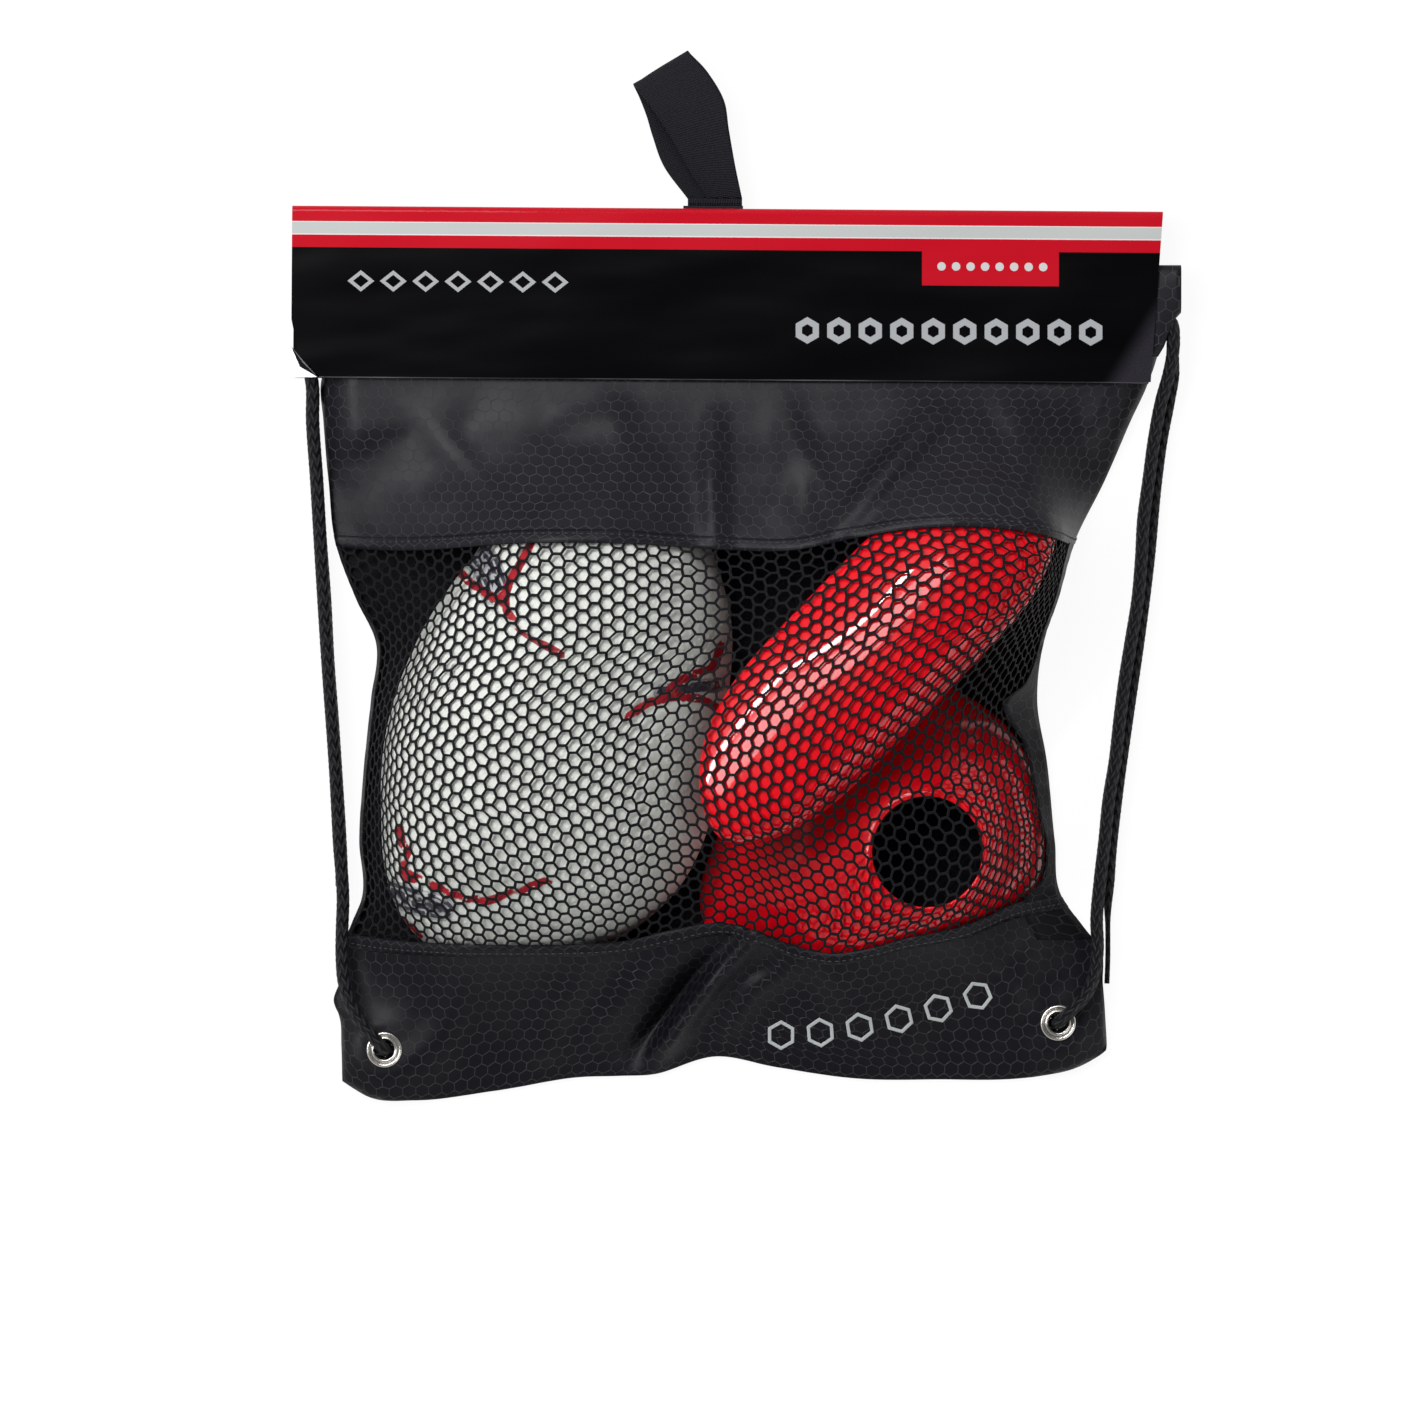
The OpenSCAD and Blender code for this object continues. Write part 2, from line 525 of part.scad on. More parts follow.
// The corner where the right cords leave stays open
module channel_tube(flap_low, flap_side) {
    difference() {
        rotate([90, 0, 90]) linear_extrude(channel_l) channel_profile(flap_low);
        translate([channel_l - exit_l, flap_low - overrun, -overrun])
            cube([exit_l + overrun, high_cord_y - cord_r - flap_low - sewn_gap + overrun,
                  channel_h + 2 * overrun]);
        for (x = [-overrun, channel_l - exit_l - flap_side]) {
            translate([x, flap_low - overrun, -overrun])
                cube([flap_side + overrun, channel_y - flap_low + overrun,
                      channel_h + 2 * overrun]);
        }
    }
}
flap_side = 2 * side_rise;
module rear_channel() {
    color("#242429") translate([channel_left, 0, rear_channel_z])
        channel_tube(card_low_y - 2 * cord_d, flap_side);
}
module front_channel() {
    color("#242429") translate([channel_left, 0, front_channel_top]) mirror([0, 0, 1])
        channel_tube(channel_y - 2 * cord_d, flap_side);
}

// Each cord runs through one channel and comes back through the other
module cord_in_channels(y, start, end, turn_x, facing) {
    turn_r = (front_cord_z - rear_cord_z) / 2;
    color("#18181b") union() {
        for (z = [rear_cord_z, front_cord_z]) {
            translate([start, y, z]) rotate([0, 90, 0])
                cylinder(d = cord_d, h = end - start, $fn = round_fn);
        }
        translate([turn_x, y, rear_cord_z + turn_r]) rotate([90, 0, 0]) rotate([0, 0, facing])
            rotate_extrude(angle = 180, $fn = round_fn)
            translate([turn_r, 0]) circle(d = cord_d, $fn = round_fn);
    }
}
low_turn_x = channel_left + channel_l - 5 * cord_r - sewn_gap;
module left_cord_in_channels() {
    cord_in_channels(low_cord_y, channel_left, low_turn_x, low_turn_x, -90);
}
module right_cord_in_channels() {
    cord_in_channels(high_cord_y, channel_left, right_cord_exit_x, channel_left, 90);
}

// A cord swept along its route
cord_sides = 8;
// A level direction that neither cord runs along, which its rings are set out from
left_cord_side = [0.78, 0.62, 0];
right_cord_side = [-0.78, 0.62, 0];
// Rings over which the outer cord narrows to its tail
tail_rings = 4;
function unit(v) = v / norm(v);
function sweep_ring(route, radii, k, ref) =
    let(t = unit(route[min(k + 1, len(route) - 1)] - route[max(k - 1, 0)]),
        side = unit(cross(t, ref)), up = cross(side, t))
    [for (i = [0 : cord_sides - 1])
        let(a = 360 * (i + 0.5) / cord_sides)
        route[k] + radii[k] * (side * cos(a) + up * sin(a))];
module cord(route, radii, ref) {
    n = len(route);
    points = [for (k = [0 : n - 1]) each sweep_ring(route, radii, k, ref)];
    walls = [for (k = [0 : n - 2], i = [0 : cord_sides - 1])
        let(j = (i + 1) % cord_sides, a = k * cord_sides + i, b = k * cord_sides + j)
        each [[a, b, b + cord_sides], [a, b + cord_sides, a + cord_sides]]];
    last = (n - 1) * cord_sides;
    caps = [for (i = [1 : cord_sides - 2])
        each [[0, i + 1, i], [last, last + i, last + i + 1]]];
    color("#18181b") polyhedron(points = points, faces = [for (f = concat(walls, caps)) [f[0], f[1], f[2]]]);
}
module left_cord_front() {
    cord(left_front_route, [for (p = left_front_route) cord_r], left_cord_side);
}
module left_cord_rear() {
    cord(left_rear_route, [for (p = left_rear_route) cord_r], left_cord_side);
}
module right_cord_front() {
    cord(right_front_route, [for (p = right_front_route) cord_r], right_cord_side);
}
module right_cord_rear() {
    n = len(right_rear_route);
    cord(right_rear_route, [for (k = [0 : n - 1])
        mix(cord_r, cord_tail_d / 2, ease((k - n + tail_rings + 1) / (tail_rings - 1)))],
        right_cord_side);
}
module cord_knots() {
    color("#18181b") for (p = eyelet_places) {
        translate([p[0], p[1], cord_r + sewn_gap]) rotate_extrude($fn = round_fn)
            translate([cord_r + sewn_gap + cord_r / 4, 0]) circle(r = cord_r, $fn = round_fn);
    }
}

// Eyelets: a barrel with a rolled rim in front, and a washer behind the cloth
eyelet_low = corner_lift - cloth_t;
eyelet_face = corner_top + cloth_t + sewn_gap / 2;
module eyelets() {
    roll_r = rim_h / 2;
    color("#c9c4bb") for (p = eyelet_places) {
        translate([p[0], p[1], 0]) rotate_extrude($fn = round_fn) union() {
            translate([eyelet_hole_d / 2, eyelet_low])
                square([eyelet_t, eyelet_face + roll_r - eyelet_low]);
            translate([eyelet_hole_d / 2 + roll_r, eyelet_face + roll_r]) circle(r = roll_r, $fn = round_fn);
            translate([eyelet_d / 2 - roll_r, eyelet_face + roll_r]) circle(r = roll_r, $fn = round_fn);
            translate([eyelet_hole_d / 2 + roll_r, eyelet_face + roll_r - eyelet_t])
                square([eyelet_d / 2 - eyelet_hole_d / 2 - 2 * roll_r, eyelet_t]);
        }
    }
}
module eyelet_washers() {
    washer_inner = barrel_r + sewn_gap / 2;
    color("#c9c4bb") for (p = eyelet_places) {
        translate([p[0], p[1], corner_lift - eyelet_t - sewn_gap / 3]) difference() {
            cylinder(d = eyelet_d, h = eyelet_t, $fn = round_fn);
            translate([0, 0, -overrun])
                cylinder(r = washer_inner, h = eyelet_t + 2 * overrun, $fn = round_fn);
        }
    }
}

// The header card, folded over the bag's mouth
function arc(centre, r, from, to) =
    [for (k = [0 : 6]) let(a = mix(from, to, k / 6)) centre + r * [cos(a), sin(a)]];
// The slot in the fold for the loop, as shares of the loop's width
loop_slot_shares = [-0.49, 0.07];
loop_slot_x = loop_w * loop_slot_shares;
module header_card() {
    inner_r = card_crease_r - card_t;
    profile = concat(
        [[card_low_y, 0]],
        arc([card_fold_y - card_crease_r, card_crease_r], card_crease_r, -90, 0),
        arc([card_fold_y - card_crease_r, card_top_z - card_crease_r], card_crease_r, 0, 90),
        [[card_low_y, card_top_z], [card_low_y, card_front_z]],
        arc([card_fold_y - card_crease_r, card_top_z - card_crease_r], inner_r, 90, 0),
        arc([card_fold_y - card_crease_r, card_crease_r], inner_r, 0, -90),
        [[card_low_y, card_t]]);
    cut = card_h / 3;
    color("#15151a") translate([card_left, card_fold_y, 0]) rotate([0, 0, card_turn])
        translate([0, -card_fold_y, 0]) difference() {
            rotate([90, 0, 90]) linear_extrude(card_w) polygon(profile);
            translate([0, 0, card_front_z - overrun]) linear_extrude(card_t + 2 * overrun)
                polygon([[-overrun, card_low_y + cut], [0, card_low_y + cut],
                         [cut / 8, card_low_y + cut * 2 / 5], [cut / 2, card_low_y],
                         [cut / 2, card_low_y - overrun], [-overrun, card_low_y - overrun]]);
            translate([0, 0, -overrun]) linear_extrude(card_top_z + 2 * overrun)
                polygon([[card_w, card_fold_y], [card_w - cut / 5, card_low_y - overrun],
                         [card_w + overrun, card_low_y - overrun]]);
            translate([loop_slot_x[0] - card_left, card_fold_y - card_crease_r, loop_z - hinge_r - sewn_gap])
                cube([loop_slot_x[1] - loop_slot_x[0], card_crease_r + overrun,
                      2 * (hinge_r + sewn_gap)]);
        }
}

// The tape's two ends inside the card, and the loop outside it, which turns at the card's fold
tail_end_y = channel_y + channel_w - sewn_gap;
module loop_tails() {
    color("#1f1f24") for (side = [-1, 1]) {
        translate([loop_slot_x[0] + 2 * sewn_gap, tail_end_y,
                   loop_z + side * (tape_t + sewn_gap / 2) / 2 - tape_t / 2])
            cube([loop_slot_x[1] - loop_slot_x[0] - 4 * sewn_gap,
                  hinge_y - hinge_r - sewn_gap - tail_end_y, tape_t]);
    }
}
loop_mid_share = -0.292;
loop_mid_x = loop_mid_share * loop_w;
loop_half_share = 0.56;
loop_half = loop_w * loop_half_share;
foot_x = [loop_mid_x + loop_shares[12][0][0] * loop_half, loop_mid_x + loop_shares[0][1][0] * loop_half];
foot_share = 0.045;
// How the folded tape leans, sideways and up
lean_shares = [-0.4, 0.92];
module hang_loop() {
    stations = [for (s = loop_shares)
        let(n = [lean_shares[0] * sin(s[3]), lean_shares[1] * sin(s[3]), cos(s[3])] * tape_t / 2,
            z = s[2] * loop_inner_h,
            l = [loop_mid_x + s[0][0] * loop_half, hinge_y + s[0][1] * loop_l, loop_z + z],
            r = [loop_mid_x + s[1][0] * loop_half, hinge_y + s[1][1] * loop_l, loop_z + z])
        each [l + n, r + n, r - n, l - n]];
    count = len(loop_shares);
    walls = [for (k = [0 : count - 2], i = [0 : 3])
        let(j = (i + 1) % 4, a = 4 * k + i, b = 4 * k + j)
        each [[a, b, b + 4], [a, b + 4, a + 4]]];
    last = 4 * (count - 1);
    color("#1f1f24") union() {
        polyhedron(points = stations, faces = [for (f = concat(walls,
            [[0, 3, 2], [0, 2, 1], [last, last + 1, last + 2], [last, last + 2, last + 3]]))
            [f[2], f[1], f[0]]]);
        translate([foot_x[0], hinge_y, loop_z]) rotate([0, 90, 0])
            cylinder(r = hinge_r, h = foot_x[1] - foot_x[0], $fn = round_fn);
        translate([foot_x[0], hinge_y, loop_z - hinge_r])
            cube([foot_x[1] - foot_x[0], foot_share * loop_l, 2 * hinge_r]);
    }
}

// The deflated ball: one half pushed into the other, so a direction on the round ball comes to
// lie on the outer dome, on the folded lip or on the inner dome
lip_from = 60;
lip_to = 120;
ball_dome_h = ball_h - ball_mid_z;
function dome_point(angle, tilt, inset) =
    let(across = pow(sin(tilt), 2 / rounding), up = pow(max(0, cos(tilt)), 2 / rounding),
        r = (ball_plan_r(angle) - inset) * across)
    [r * cos(angle), r * sin(angle), (ball_dome_h - inset) * up];
function lip_point(angle, turn, inset) =
    let(half = ball_fold_t / 2, r = ball_plan_r(angle) - half + (half - inset) * cos(turn))
    [r * cos(angle), r * sin(angle), -(half - inset) * sin(turn)];
function folded_ball(dir, inset) =
    let(angle = atan2(dir[1], dir[0]), theta = acos(limit(dir[2], -1, 1)),
        p = theta < lip_from ? dome_point(angle, 90 * theta / lip_from, inset)
          : theta > lip_to ? dome_point(angle, 90 * (180 - theta) / (180 - lip_to), ball_fold_t - inset)
          : lip_point(angle, 180 * (theta - lip_from) / (lip_to - lip_from), inset))
    [ball_place[0], ball_place[1], ball_mid_z] + p;

// The ball's six faces, each of three panels, turned as a group to show its seams
ball_turn = [18, -24, 35];
function rotate_about(v, k) =
    k == 0 ? [v[0], v[1] * cos(ball_turn[0]) - v[2] * sin(ball_turn[0]),
              v[1] * sin(ball_turn[0]) + v[2] * cos(ball_turn[0])]
  : k == 1 ? [v[0] * cos(ball_turn[1]) + v[2] * sin(ball_turn[1]), v[1],
              v[2] * cos(ball_turn[1]) - v[0] * sin(ball_turn[1])]
  : [v[0] * cos(ball_turn[2]) - v[1] * sin(ball_turn[2]),
     v[0] * sin(ball_turn[2]) + v[1] * cos(ball_turn[2]), v[2]];
faces_of_ball = [
    [[0, 0, 1], [1, 0, 0], [0, 1, 0]], [[0, 0, -1], [0, 1, 0], [1, 0, 0]],
    [[1, 0, 0], [0, 1, 0], [0, 0, 1]], [[-1, 0, 0], [0, 0, 1], [0, 1, 0]],
    [[0, 1, 0], [0, 0, 1], [1, 0, 0]], [[0, -1, 0], [1, 0, 0], [0, 0, 1]]
];
function face_direction(face, s, t) =
    let(f = faces_of_ball[face], d = unit(f[0] + tan(45 * s) * f[1] + tan(45 * t) * f[2]))
    rotate_about(rotate_about(rotate_about(d, 0), 1), 2);

// One patch of one layer of the ball, over part of a face
face_cells = 6;
module ball_patch(face, s_from, s_to, inset, depth, groove) {
    cells = round((s_to - s_from) / 2 * face_cells);
    g = groove / (PI * ball_d / 8);
    places = [for (i = [0 : cells], j = [0 : face_cells])
        let(s = mix(s_from, s_to, i / cells), t = mix(-1, 1, j / face_cells),
            theta = acos(face_direction(face, s, t)[2]),
            gap = g * (theta > lip_from && theta < lip_to ? 5 : 1))
        [i == 0 ? s + gap : i == cells ? s - gap : s,
         j == 0 ? t + gap : j == face_cells ? t - gap : t]];
    outer = [for (p = places) folded_ball(face_direction(face, p[0], p[1]), inset)];
    inner = [for (p = places) folded_ball(face_direction(face, p[0], p[1]), inset + depth)];
    sheet(inner, outer, cells + 1, face_cells + 1);
}
valve_place = [ball_place[0], ball_place[1], ball_mid_z + ball_dome_h - ball_fold_t];
flange_h = 1.2;
module valve_cut(clearance) {
    translate([valve_place[0], valve_place[1], valve_place[2] - 4 * overrun])
        cylinder(d = valve_d + 2 * clearance, h = 4 * overrun + ball_fold_t / 2, $fn = round_fn);
}
module ball_panels(face) {
    color("#d9dad2") difference() {
        for (k = [0 : 2]) {
            ball_patch(face, -1 + 2 * k / 3, -1 + 2 * (k + 1) / 3, 0, cover_t, groove_w / 2);
        }
        valve_cut(layer_gap);
    }
}
module ball_panels_top() {
    ball_panels(0);
}
module ball_panels_bottom() {
    ball_panels(1);
}
module ball_panels_left() {
    ball_panels(3);
}
module ball_panels_right() {
    ball_panels(2);
}
module ball_panels_front() {
    ball_panels(5);
}
module ball_panels_back() {
    ball_panels(4);
}
lining_inset = cover_t + layer_gap;
bladder_inset = lining_inset + lining_t + layer_gap;
module ball_lining() {
    color("#8d8f8a") difference() {
        for (face = [0 : 5]) {
            ball_patch(face, -1, 1, lining_inset, lining_t, groove_w / 2);
        }
        valve_cut(layer_gap);
    }
}
function tidy(p) = [for (v = p) round(v * 1000) / 1000];
module ball_bladder() {
    side = face_cells + 1;
    points = [for (face = [0 : 5], i = [0 : face_cells], j = [0 : face_cells])
        tidy(folded_ball(face_direction(face, mix(-1, 1, i / face_cells), mix(-1, 1, j / face_cells)),
                         bladder_inset))];
    pocket_d = 2 * valve_d;
    pocket_z = valve_place[2] + bladder_inset;
    color("#1c1c1c") difference() {
        polyhedron(points = points, faces = [for (face = [0 : 5])
            each grid_faces(side, side, face * side * side, false)]);
        valve_cut(layer_gap);
        translate([valve_place[0], valve_place[1], pocket_z - 2 * overrun])
            cylinder(d = pocket_d + 2 * layer_gap, h = flange_h + layer_gap + 2 * overrun, $fn = round_fn);
    }
}
module ball_valve() {
    needle_d = valve_d / 4;
    neck_h = bladder_inset + flange_h;
    color("#2a2a2a") translate(valve_place) difference() {
        union() {
            cylinder(d = valve_d, h = neck_h, $fn = round_fn);
            translate([0, 0, bladder_inset]) cylinder(d = 2 * valve_d, h = flange_h, $fn = round_fn);
        }
        translate([0, 0, -overrun]) cylinder(d = needle_d, h = neck_h, $fn = round_fn);
    }
}

// The lower marker cone, pressed out of round, with its hole facing up
ring_steps = 32;
rim_low_z = cloth_t + sewn_gap / 3;
skin_share = 0.7;
skin_h = skin_share * cone_t;
function dished_point(angle, level, inward) =
    let(place = mix(dished_hole_place, dished_rim_place, level),
        r = mix(cone_hole_d / 2, dished_rim_r(angle), level) - inward)
    [place[0] + r * cos(angle), place[1] + r * sin(angle),
     rim_low_z + skin_h + (cone_h - skin_h) * (1 - dished_fall(level)) - inward];
module cone_shell(outer, inner, levels) {
    count = ring_steps * (levels + 1);
    skin = [for (k = [0 : levels - 1], i = [0 : ring_steps - 1])
        let(j = (i + 1) % ring_steps, a = k * ring_steps + i, b = k * ring_steps + j)
        each [[a, b, b + ring_steps], [a, b + ring_steps, a + ring_steps]]];
    edges = [for (k = [0, levels], i = [0 : ring_steps - 1])
        let(a = k * ring_steps + i, b = k * ring_steps + (i + 1) % ring_steps,
            quad = [[a, a + count, b + count], [a, b + count, b]])
        each k == 0 ? quad : [for (f = quad) [f[2], f[1], f[0]]]];
    polyhedron(points = concat(outer, inner),
               faces = concat(skin, [for (f = skin) [f[2] + count, f[1] + count, f[0] + count]], edges));
}
module dished_marker_cone() {
    levels = 6;
    color("#cc1626") cone_shell(
        [for (k = [0 : levels], i = [0 : ring_steps - 1])
            dished_point(360 * i / ring_steps, k / levels, 0)],
        [for (k = [0 : levels], i = [0 : ring_steps - 1])
            dished_point(360 * i / ring_steps, k / levels, skin_h)], levels);
}

// The upper marker cone, folded double: the fold runs along its right side, the upper layer
// arches to the left and the lower layer, with the hole, is tucked underneath
fold_share = 0.47;
folded_hole_share = [0, -0.5];
function folded_half(s) = folded_half_w * pow(max(0, 1 - pow(abs(s), 3)), 1 / 3);
function fold_z(s) = folded_top * (1 - end_drop(s)) - fold_share * folded_half_w;
function folded_point(s, a, depth) =
    let(w = folded_half(s), r = fold_share * w, quarter = 0.28, q = min(1, abs(a) / quarter),
        run = max(0, abs(a) - quarter) / (1 - quarter), side = a < 0 ? -1 : 1,
        reach = a < 0 ? 0.6 * w : 2 * w - r,
        droop = a < 0 ? 0 : (s < 0 ? 0.35 : 0.5) * w * pow(run, 2.2),
        t = -w + r - (r - depth) * cos(90 * q) + reach * run,
        z = side * (r - depth) * sin(90 * q) - droop)
    [folded_place[0] + s * folded_half_l * cos(folded_turn) - t * sin(folded_turn),
     folded_place[1] + s * folded_half_l * sin(folded_turn) + t * cos(folded_turn),
     fold_z(s) + z];
module folded_marker_cone() {
    levels = 9;
    function pair(i, k) =
        let(a = 360 * i / ring_steps, c = cos(a), d = sin(a),
            rim = [0.97 * sign(c) * sqrt(abs(c)), 0.98 * sign(d) * sqrt(abs(d))],
            hole = folded_hole_share + [0.22 * c, 0.2 * d])
        mix(hole, rim, k / levels);
    places = [for (k = [0 : levels], i = [0 : ring_steps - 1]) pair(i, k)];
    color("#d4182a") cone_shell(
        [for (p = places) folded_point(p[0], p[1], 0)],
        [for (p = places) folded_point(p[0], p[1], cone_t)], levels);
}

back_panel();
front_top_panel();
mesh_window();
front_bottom_panel();
front_channel();
rear_channel();
left_cord_in_channels();
right_cord_in_channels();
left_cord_front();
left_cord_rear();
right_cord_front();
right_cord_rear();
cord_knots();
eyelets();
eyelet_washers();
header_card();
loop_tails();
hang_loop();
ball_panels_top();
ball_panels_bottom();
ball_panels_left();
ball_panels_right();
ball_panels_front();
ball_panels_back();
ball_lining();
ball_bladder();
ball_valve();
folded_marker_cone();
dished_marker_cone();
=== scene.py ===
"""Dresses the frame of a packed netball set: bag, net, cords, card, loop, ball and marker cones.

The file is laid out as an add-on. Each operator models one piece, or one group of like pieces,
and the panel lists them in the order in which main() calls them.
"""

import math

import bmesh
import bpy
import numpy as np
from bpy.props import FloatProperty, FloatVectorProperty, IntProperty, PointerProperty
from mathutils import Matrix, Vector, noise
from mathutils.bvhtree import BVHTree


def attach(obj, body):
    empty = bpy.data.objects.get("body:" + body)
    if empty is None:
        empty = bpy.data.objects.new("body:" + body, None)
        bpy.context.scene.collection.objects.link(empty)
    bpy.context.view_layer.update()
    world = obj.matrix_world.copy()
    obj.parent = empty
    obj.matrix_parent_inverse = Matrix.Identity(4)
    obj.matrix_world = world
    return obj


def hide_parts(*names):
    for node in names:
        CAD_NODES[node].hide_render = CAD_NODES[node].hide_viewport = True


bl_info = {
    "name": "Packed Netball Set",
    "version": (1, 0, 0),
    "blender": (4, 5, 0),
    "location": "View3D > Sidebar > Netball Pack",
    "description": "Models a deflated netball and marker cones packed in a drawstring bag",
    "category": "Add Mesh",
}

MM = 0.001
SLANT = 0.866
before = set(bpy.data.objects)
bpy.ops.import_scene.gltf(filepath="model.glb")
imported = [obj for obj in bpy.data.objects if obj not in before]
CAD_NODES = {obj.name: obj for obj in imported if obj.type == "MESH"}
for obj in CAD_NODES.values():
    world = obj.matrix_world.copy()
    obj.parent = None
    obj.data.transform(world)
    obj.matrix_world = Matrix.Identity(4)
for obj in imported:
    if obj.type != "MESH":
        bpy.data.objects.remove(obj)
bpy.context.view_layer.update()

# Outline of the bag in plan, millimetres: height, left edge, right edge
SIDE_POINTS = [
    (-240, -177, 166), (-212, -177, 166), (-199, -178, 165.2), (-191.5, -181, 164.8),
    (-184, -178.5, 164.4), (-169, -177, 163.6), (-158, -173, 155.2), (-146.5, -168, 146.4),
    (-119.5, -168.8, 142.4), (-83.5, -166.4, 138.8), (-56.5, -163.6, 134.4), (-29.5, -161.6, 137.6),
    (-11.5, -170.4, 143.6), (15.5, -180.4, 151.6), (42.5, -183.2, 165.2), (69.5, -185.2, 176.8),
    (85, -186.4, 184), (103, -182, 189.6), (120, -182, 189.6),
]
# Lower edge and the two seams of the net: share of the width, height
BOTTOM_POINTS = [
    (0, -227.5), (0.035, -234.5), (0.092, -236.2), (0.2, -232), (0.304, -226), (0.409, -224.3),
    (0.488, -216.5), (0.566, -221.3), (0.671, -226.5), (0.776, -227), (0.908, -225.4),
    (0.966, -220.5), (1, -214),
]
LOWER_SEAM_POINTS = [
    (0, -162), (0.068, -164), (0.185, -165.4), (0.3, -165.4), (0.38, -163.5), (0.439, -159),
    (0.517, -156), (0.557, -160), (0.596, -166), (0.643, -169.5), (0.693, -167.3),
    (0.751, -162.4), (0.81, -159), (0.868, -153.8), (0.928, -147.4), (1, -144.4),
]
UPPER_SEAM_POINTS = [
    (0, 12), (0.085, 10.5), (0.26, 12.8), (0.41, 12.4), (0.53, 10.1), (0.62, 9.8), (0.7, 15),
    (0.77, 18.8), (0.85, 19.9), (0.93, 17.6), (1, 13),
]
# Cloth beside the net: height, width at the left, width at the right
EDGING_WIDTHS = [
    (-164, 2.4, 26), (-146, 1.8, 18), (-139, 1.6, 8.5), (-124, 1.6, 4), (-108, 1.6, 6),
    (-90, 1.6, 8), (-75, 1.6, 9.5), (-64, 1.6, 15), (-57, 1.6, 16), (-50, 1.6, 7), (-41, 1.6, 3),
    (-29, 1.6, 2), (0, 1.6, 2), (16, 1.8, 3),
]
MOTIF_FROM = (20, -207)
MOTIF_TO = (108, -189)
MOTIF_COUNT = 6
EYELET_PLACES = [(-158, -213.3), (144.2, -201.3)]

# Clear film, millimetres: its corner at the card's cut corner, and its lower edge
FILM_CORNER = [(-199.5, 101.9), (-199.8, 87.8), (-187.6, 88.1)]
FILM_EDGE_X = (-187, 184)
FILM_EDGE_Y = 88.6
FILM_EDGE_W = 0.6
FILM_EDGE_FALL = 0.35
FILM_CORNER_FALL = 0.5
FILM_Z = 17.75
FILM_CORNER_Z = 17.8
CARD_LEFT_X = -199

# Folds of the front, millimetres: points in plan, width, height
FOLDS = [
    ([(-11, 70), (-11, 40), (-9, 6)], 4.5, 7),
    ([(44, 18), (62, 40), (90, 70)], 5.5, 8),
    ([(30, 60), (38, 36), (44, 16)], 5, 4),
    ([(-150, 80), (-120, 48), (-100, 20)], 6, 3),
    ([(-60, 82), (-52, 50), (-58, 14)], 8, 3),
    ([(20, 84), (26, 52), (16, 18)], 7, 3.5),
    ([(120, 80), (132, 52), (128, 26)], 7, 4),
    ([(16, -154), (-6, -174), (-24, -198), (-42, -228)], 5.5, 15),
    ([(2, -162), (-18, -181), (-37, -205), (-54, -230)], 4.4, -15),
    ([(24, -176), (8, -186), (-6, -206)], 5, 6),
    ([(-24, -166), (-44, -184), (-72, -212)], 7, 4),
    ([(-118, -166), (-124, -190), (-140, -224)], 8, 4),
    ([(-60, -166), (-74, -188), (-96, -226)], 9, 4),
    ([(40, -170), (52, -192), (64, -218)], 9, 3),
    ([(100, -160), (116, -178), (128, -192)], 7, 4),
    ([(140, -160), (128, -180), (112, -214)], 8, 3),
]

# The deflated ball and the cones, as the frame has them, millimetres
BALL_D = 222
BALL_PLACE = (-81.7, -57.4)
BALL_H = 74
BALL_FOLD = 11
BALL_LOW = 1.1
BALL_ROUNDING = 2.4
BALL_PLAN_SHARES = [
    0.351, 0.405, 0.475, 0.45, 0.336, 0.304, 0.326, 0.405, 0.55, 0.523, 0.462, 0.379,
]
BALL_TURN = (18, -24, 35)
LIP_FROM = 60
LIP_TO = 120
CONE_RIM_R = 95
CONE_H = 50
CONE_LOW = 0.9
CONE_RIM_H = 1.4
CONE_HOLE_R = 25
DISHED_RIM_PLACE = (60, -110)
DISHED_HOLE_PLACE = (84.8, -124)
RIM_PLAN_SHARES = [
    0.83, 0.8, 0.74, 0.79, 0.79, 0.74, 0.7, 0.93, 0.95, 0.86, 0.88, 0.88,
]
FOLDED_PLACE = (56, -37.4)
FOLDED_TURN = 46
FOLDED_HALF_L = 106
FOLDED_HALF_W = 38
FOLDED_TOP = 78
FOLDED_SHARE = 0.47
FOLD_QUARTER = 0.28
FOLDED_REACH = 0.6
# How blunt its lower left and upper right ends are, and how far its edge droops there
FOLDED_BLUNT = (3, 4.5)
FOLDED_DROOP = (0.35, 0.5)

# Print on the ball, and creases whose shade is painted, millimetres: lines in plan, each with its
# half width
FLASHES = {
    "red_lines": [
        ([(-90, 16), (-94, 7), (-101, -5), (-103, -12), (-101, -19), (-95, -26), (-77, -37)], 0),
        ([(-127, 4), (-119, -4), (-110, -10), (-104, -14)], 0),
        ([(-7, -32), (-10, -42), (-21, -46), (-29, -50)], 0),
        ([(-49, -65), (-40, -58), (-28, -55), (-16, -56), (-7, -61)], 0),
        ([(-150, -112), (-149, -120), (-145, -125), (-149, -130), (-148, -135), (-139, -137)], 0),
        ([(-139, -137), (-123, -144), (-110, -146), (-97, -141), (-82, -136)], 0),
        ([(-154, -155), (-147, -157), (-142, -162)], 0),
    ],
    "dark_patches": [
        ([(-120, 12), (-112, 4), (-107, -8)], 7),
        ([(-8, -50), (-20, -51), (-34, -53)], 3.2),
        ([(-154, -143), (-144, -146), (-131, -149)], 6),
    ],
    "creases": [
        ([(-152, -51), (-142, -56), (-141, -63), (-145, -65), (-154, -62)], 0),
        ([(-108, -24), (-120, -32), (-128, -46)], 0),
    ],
}

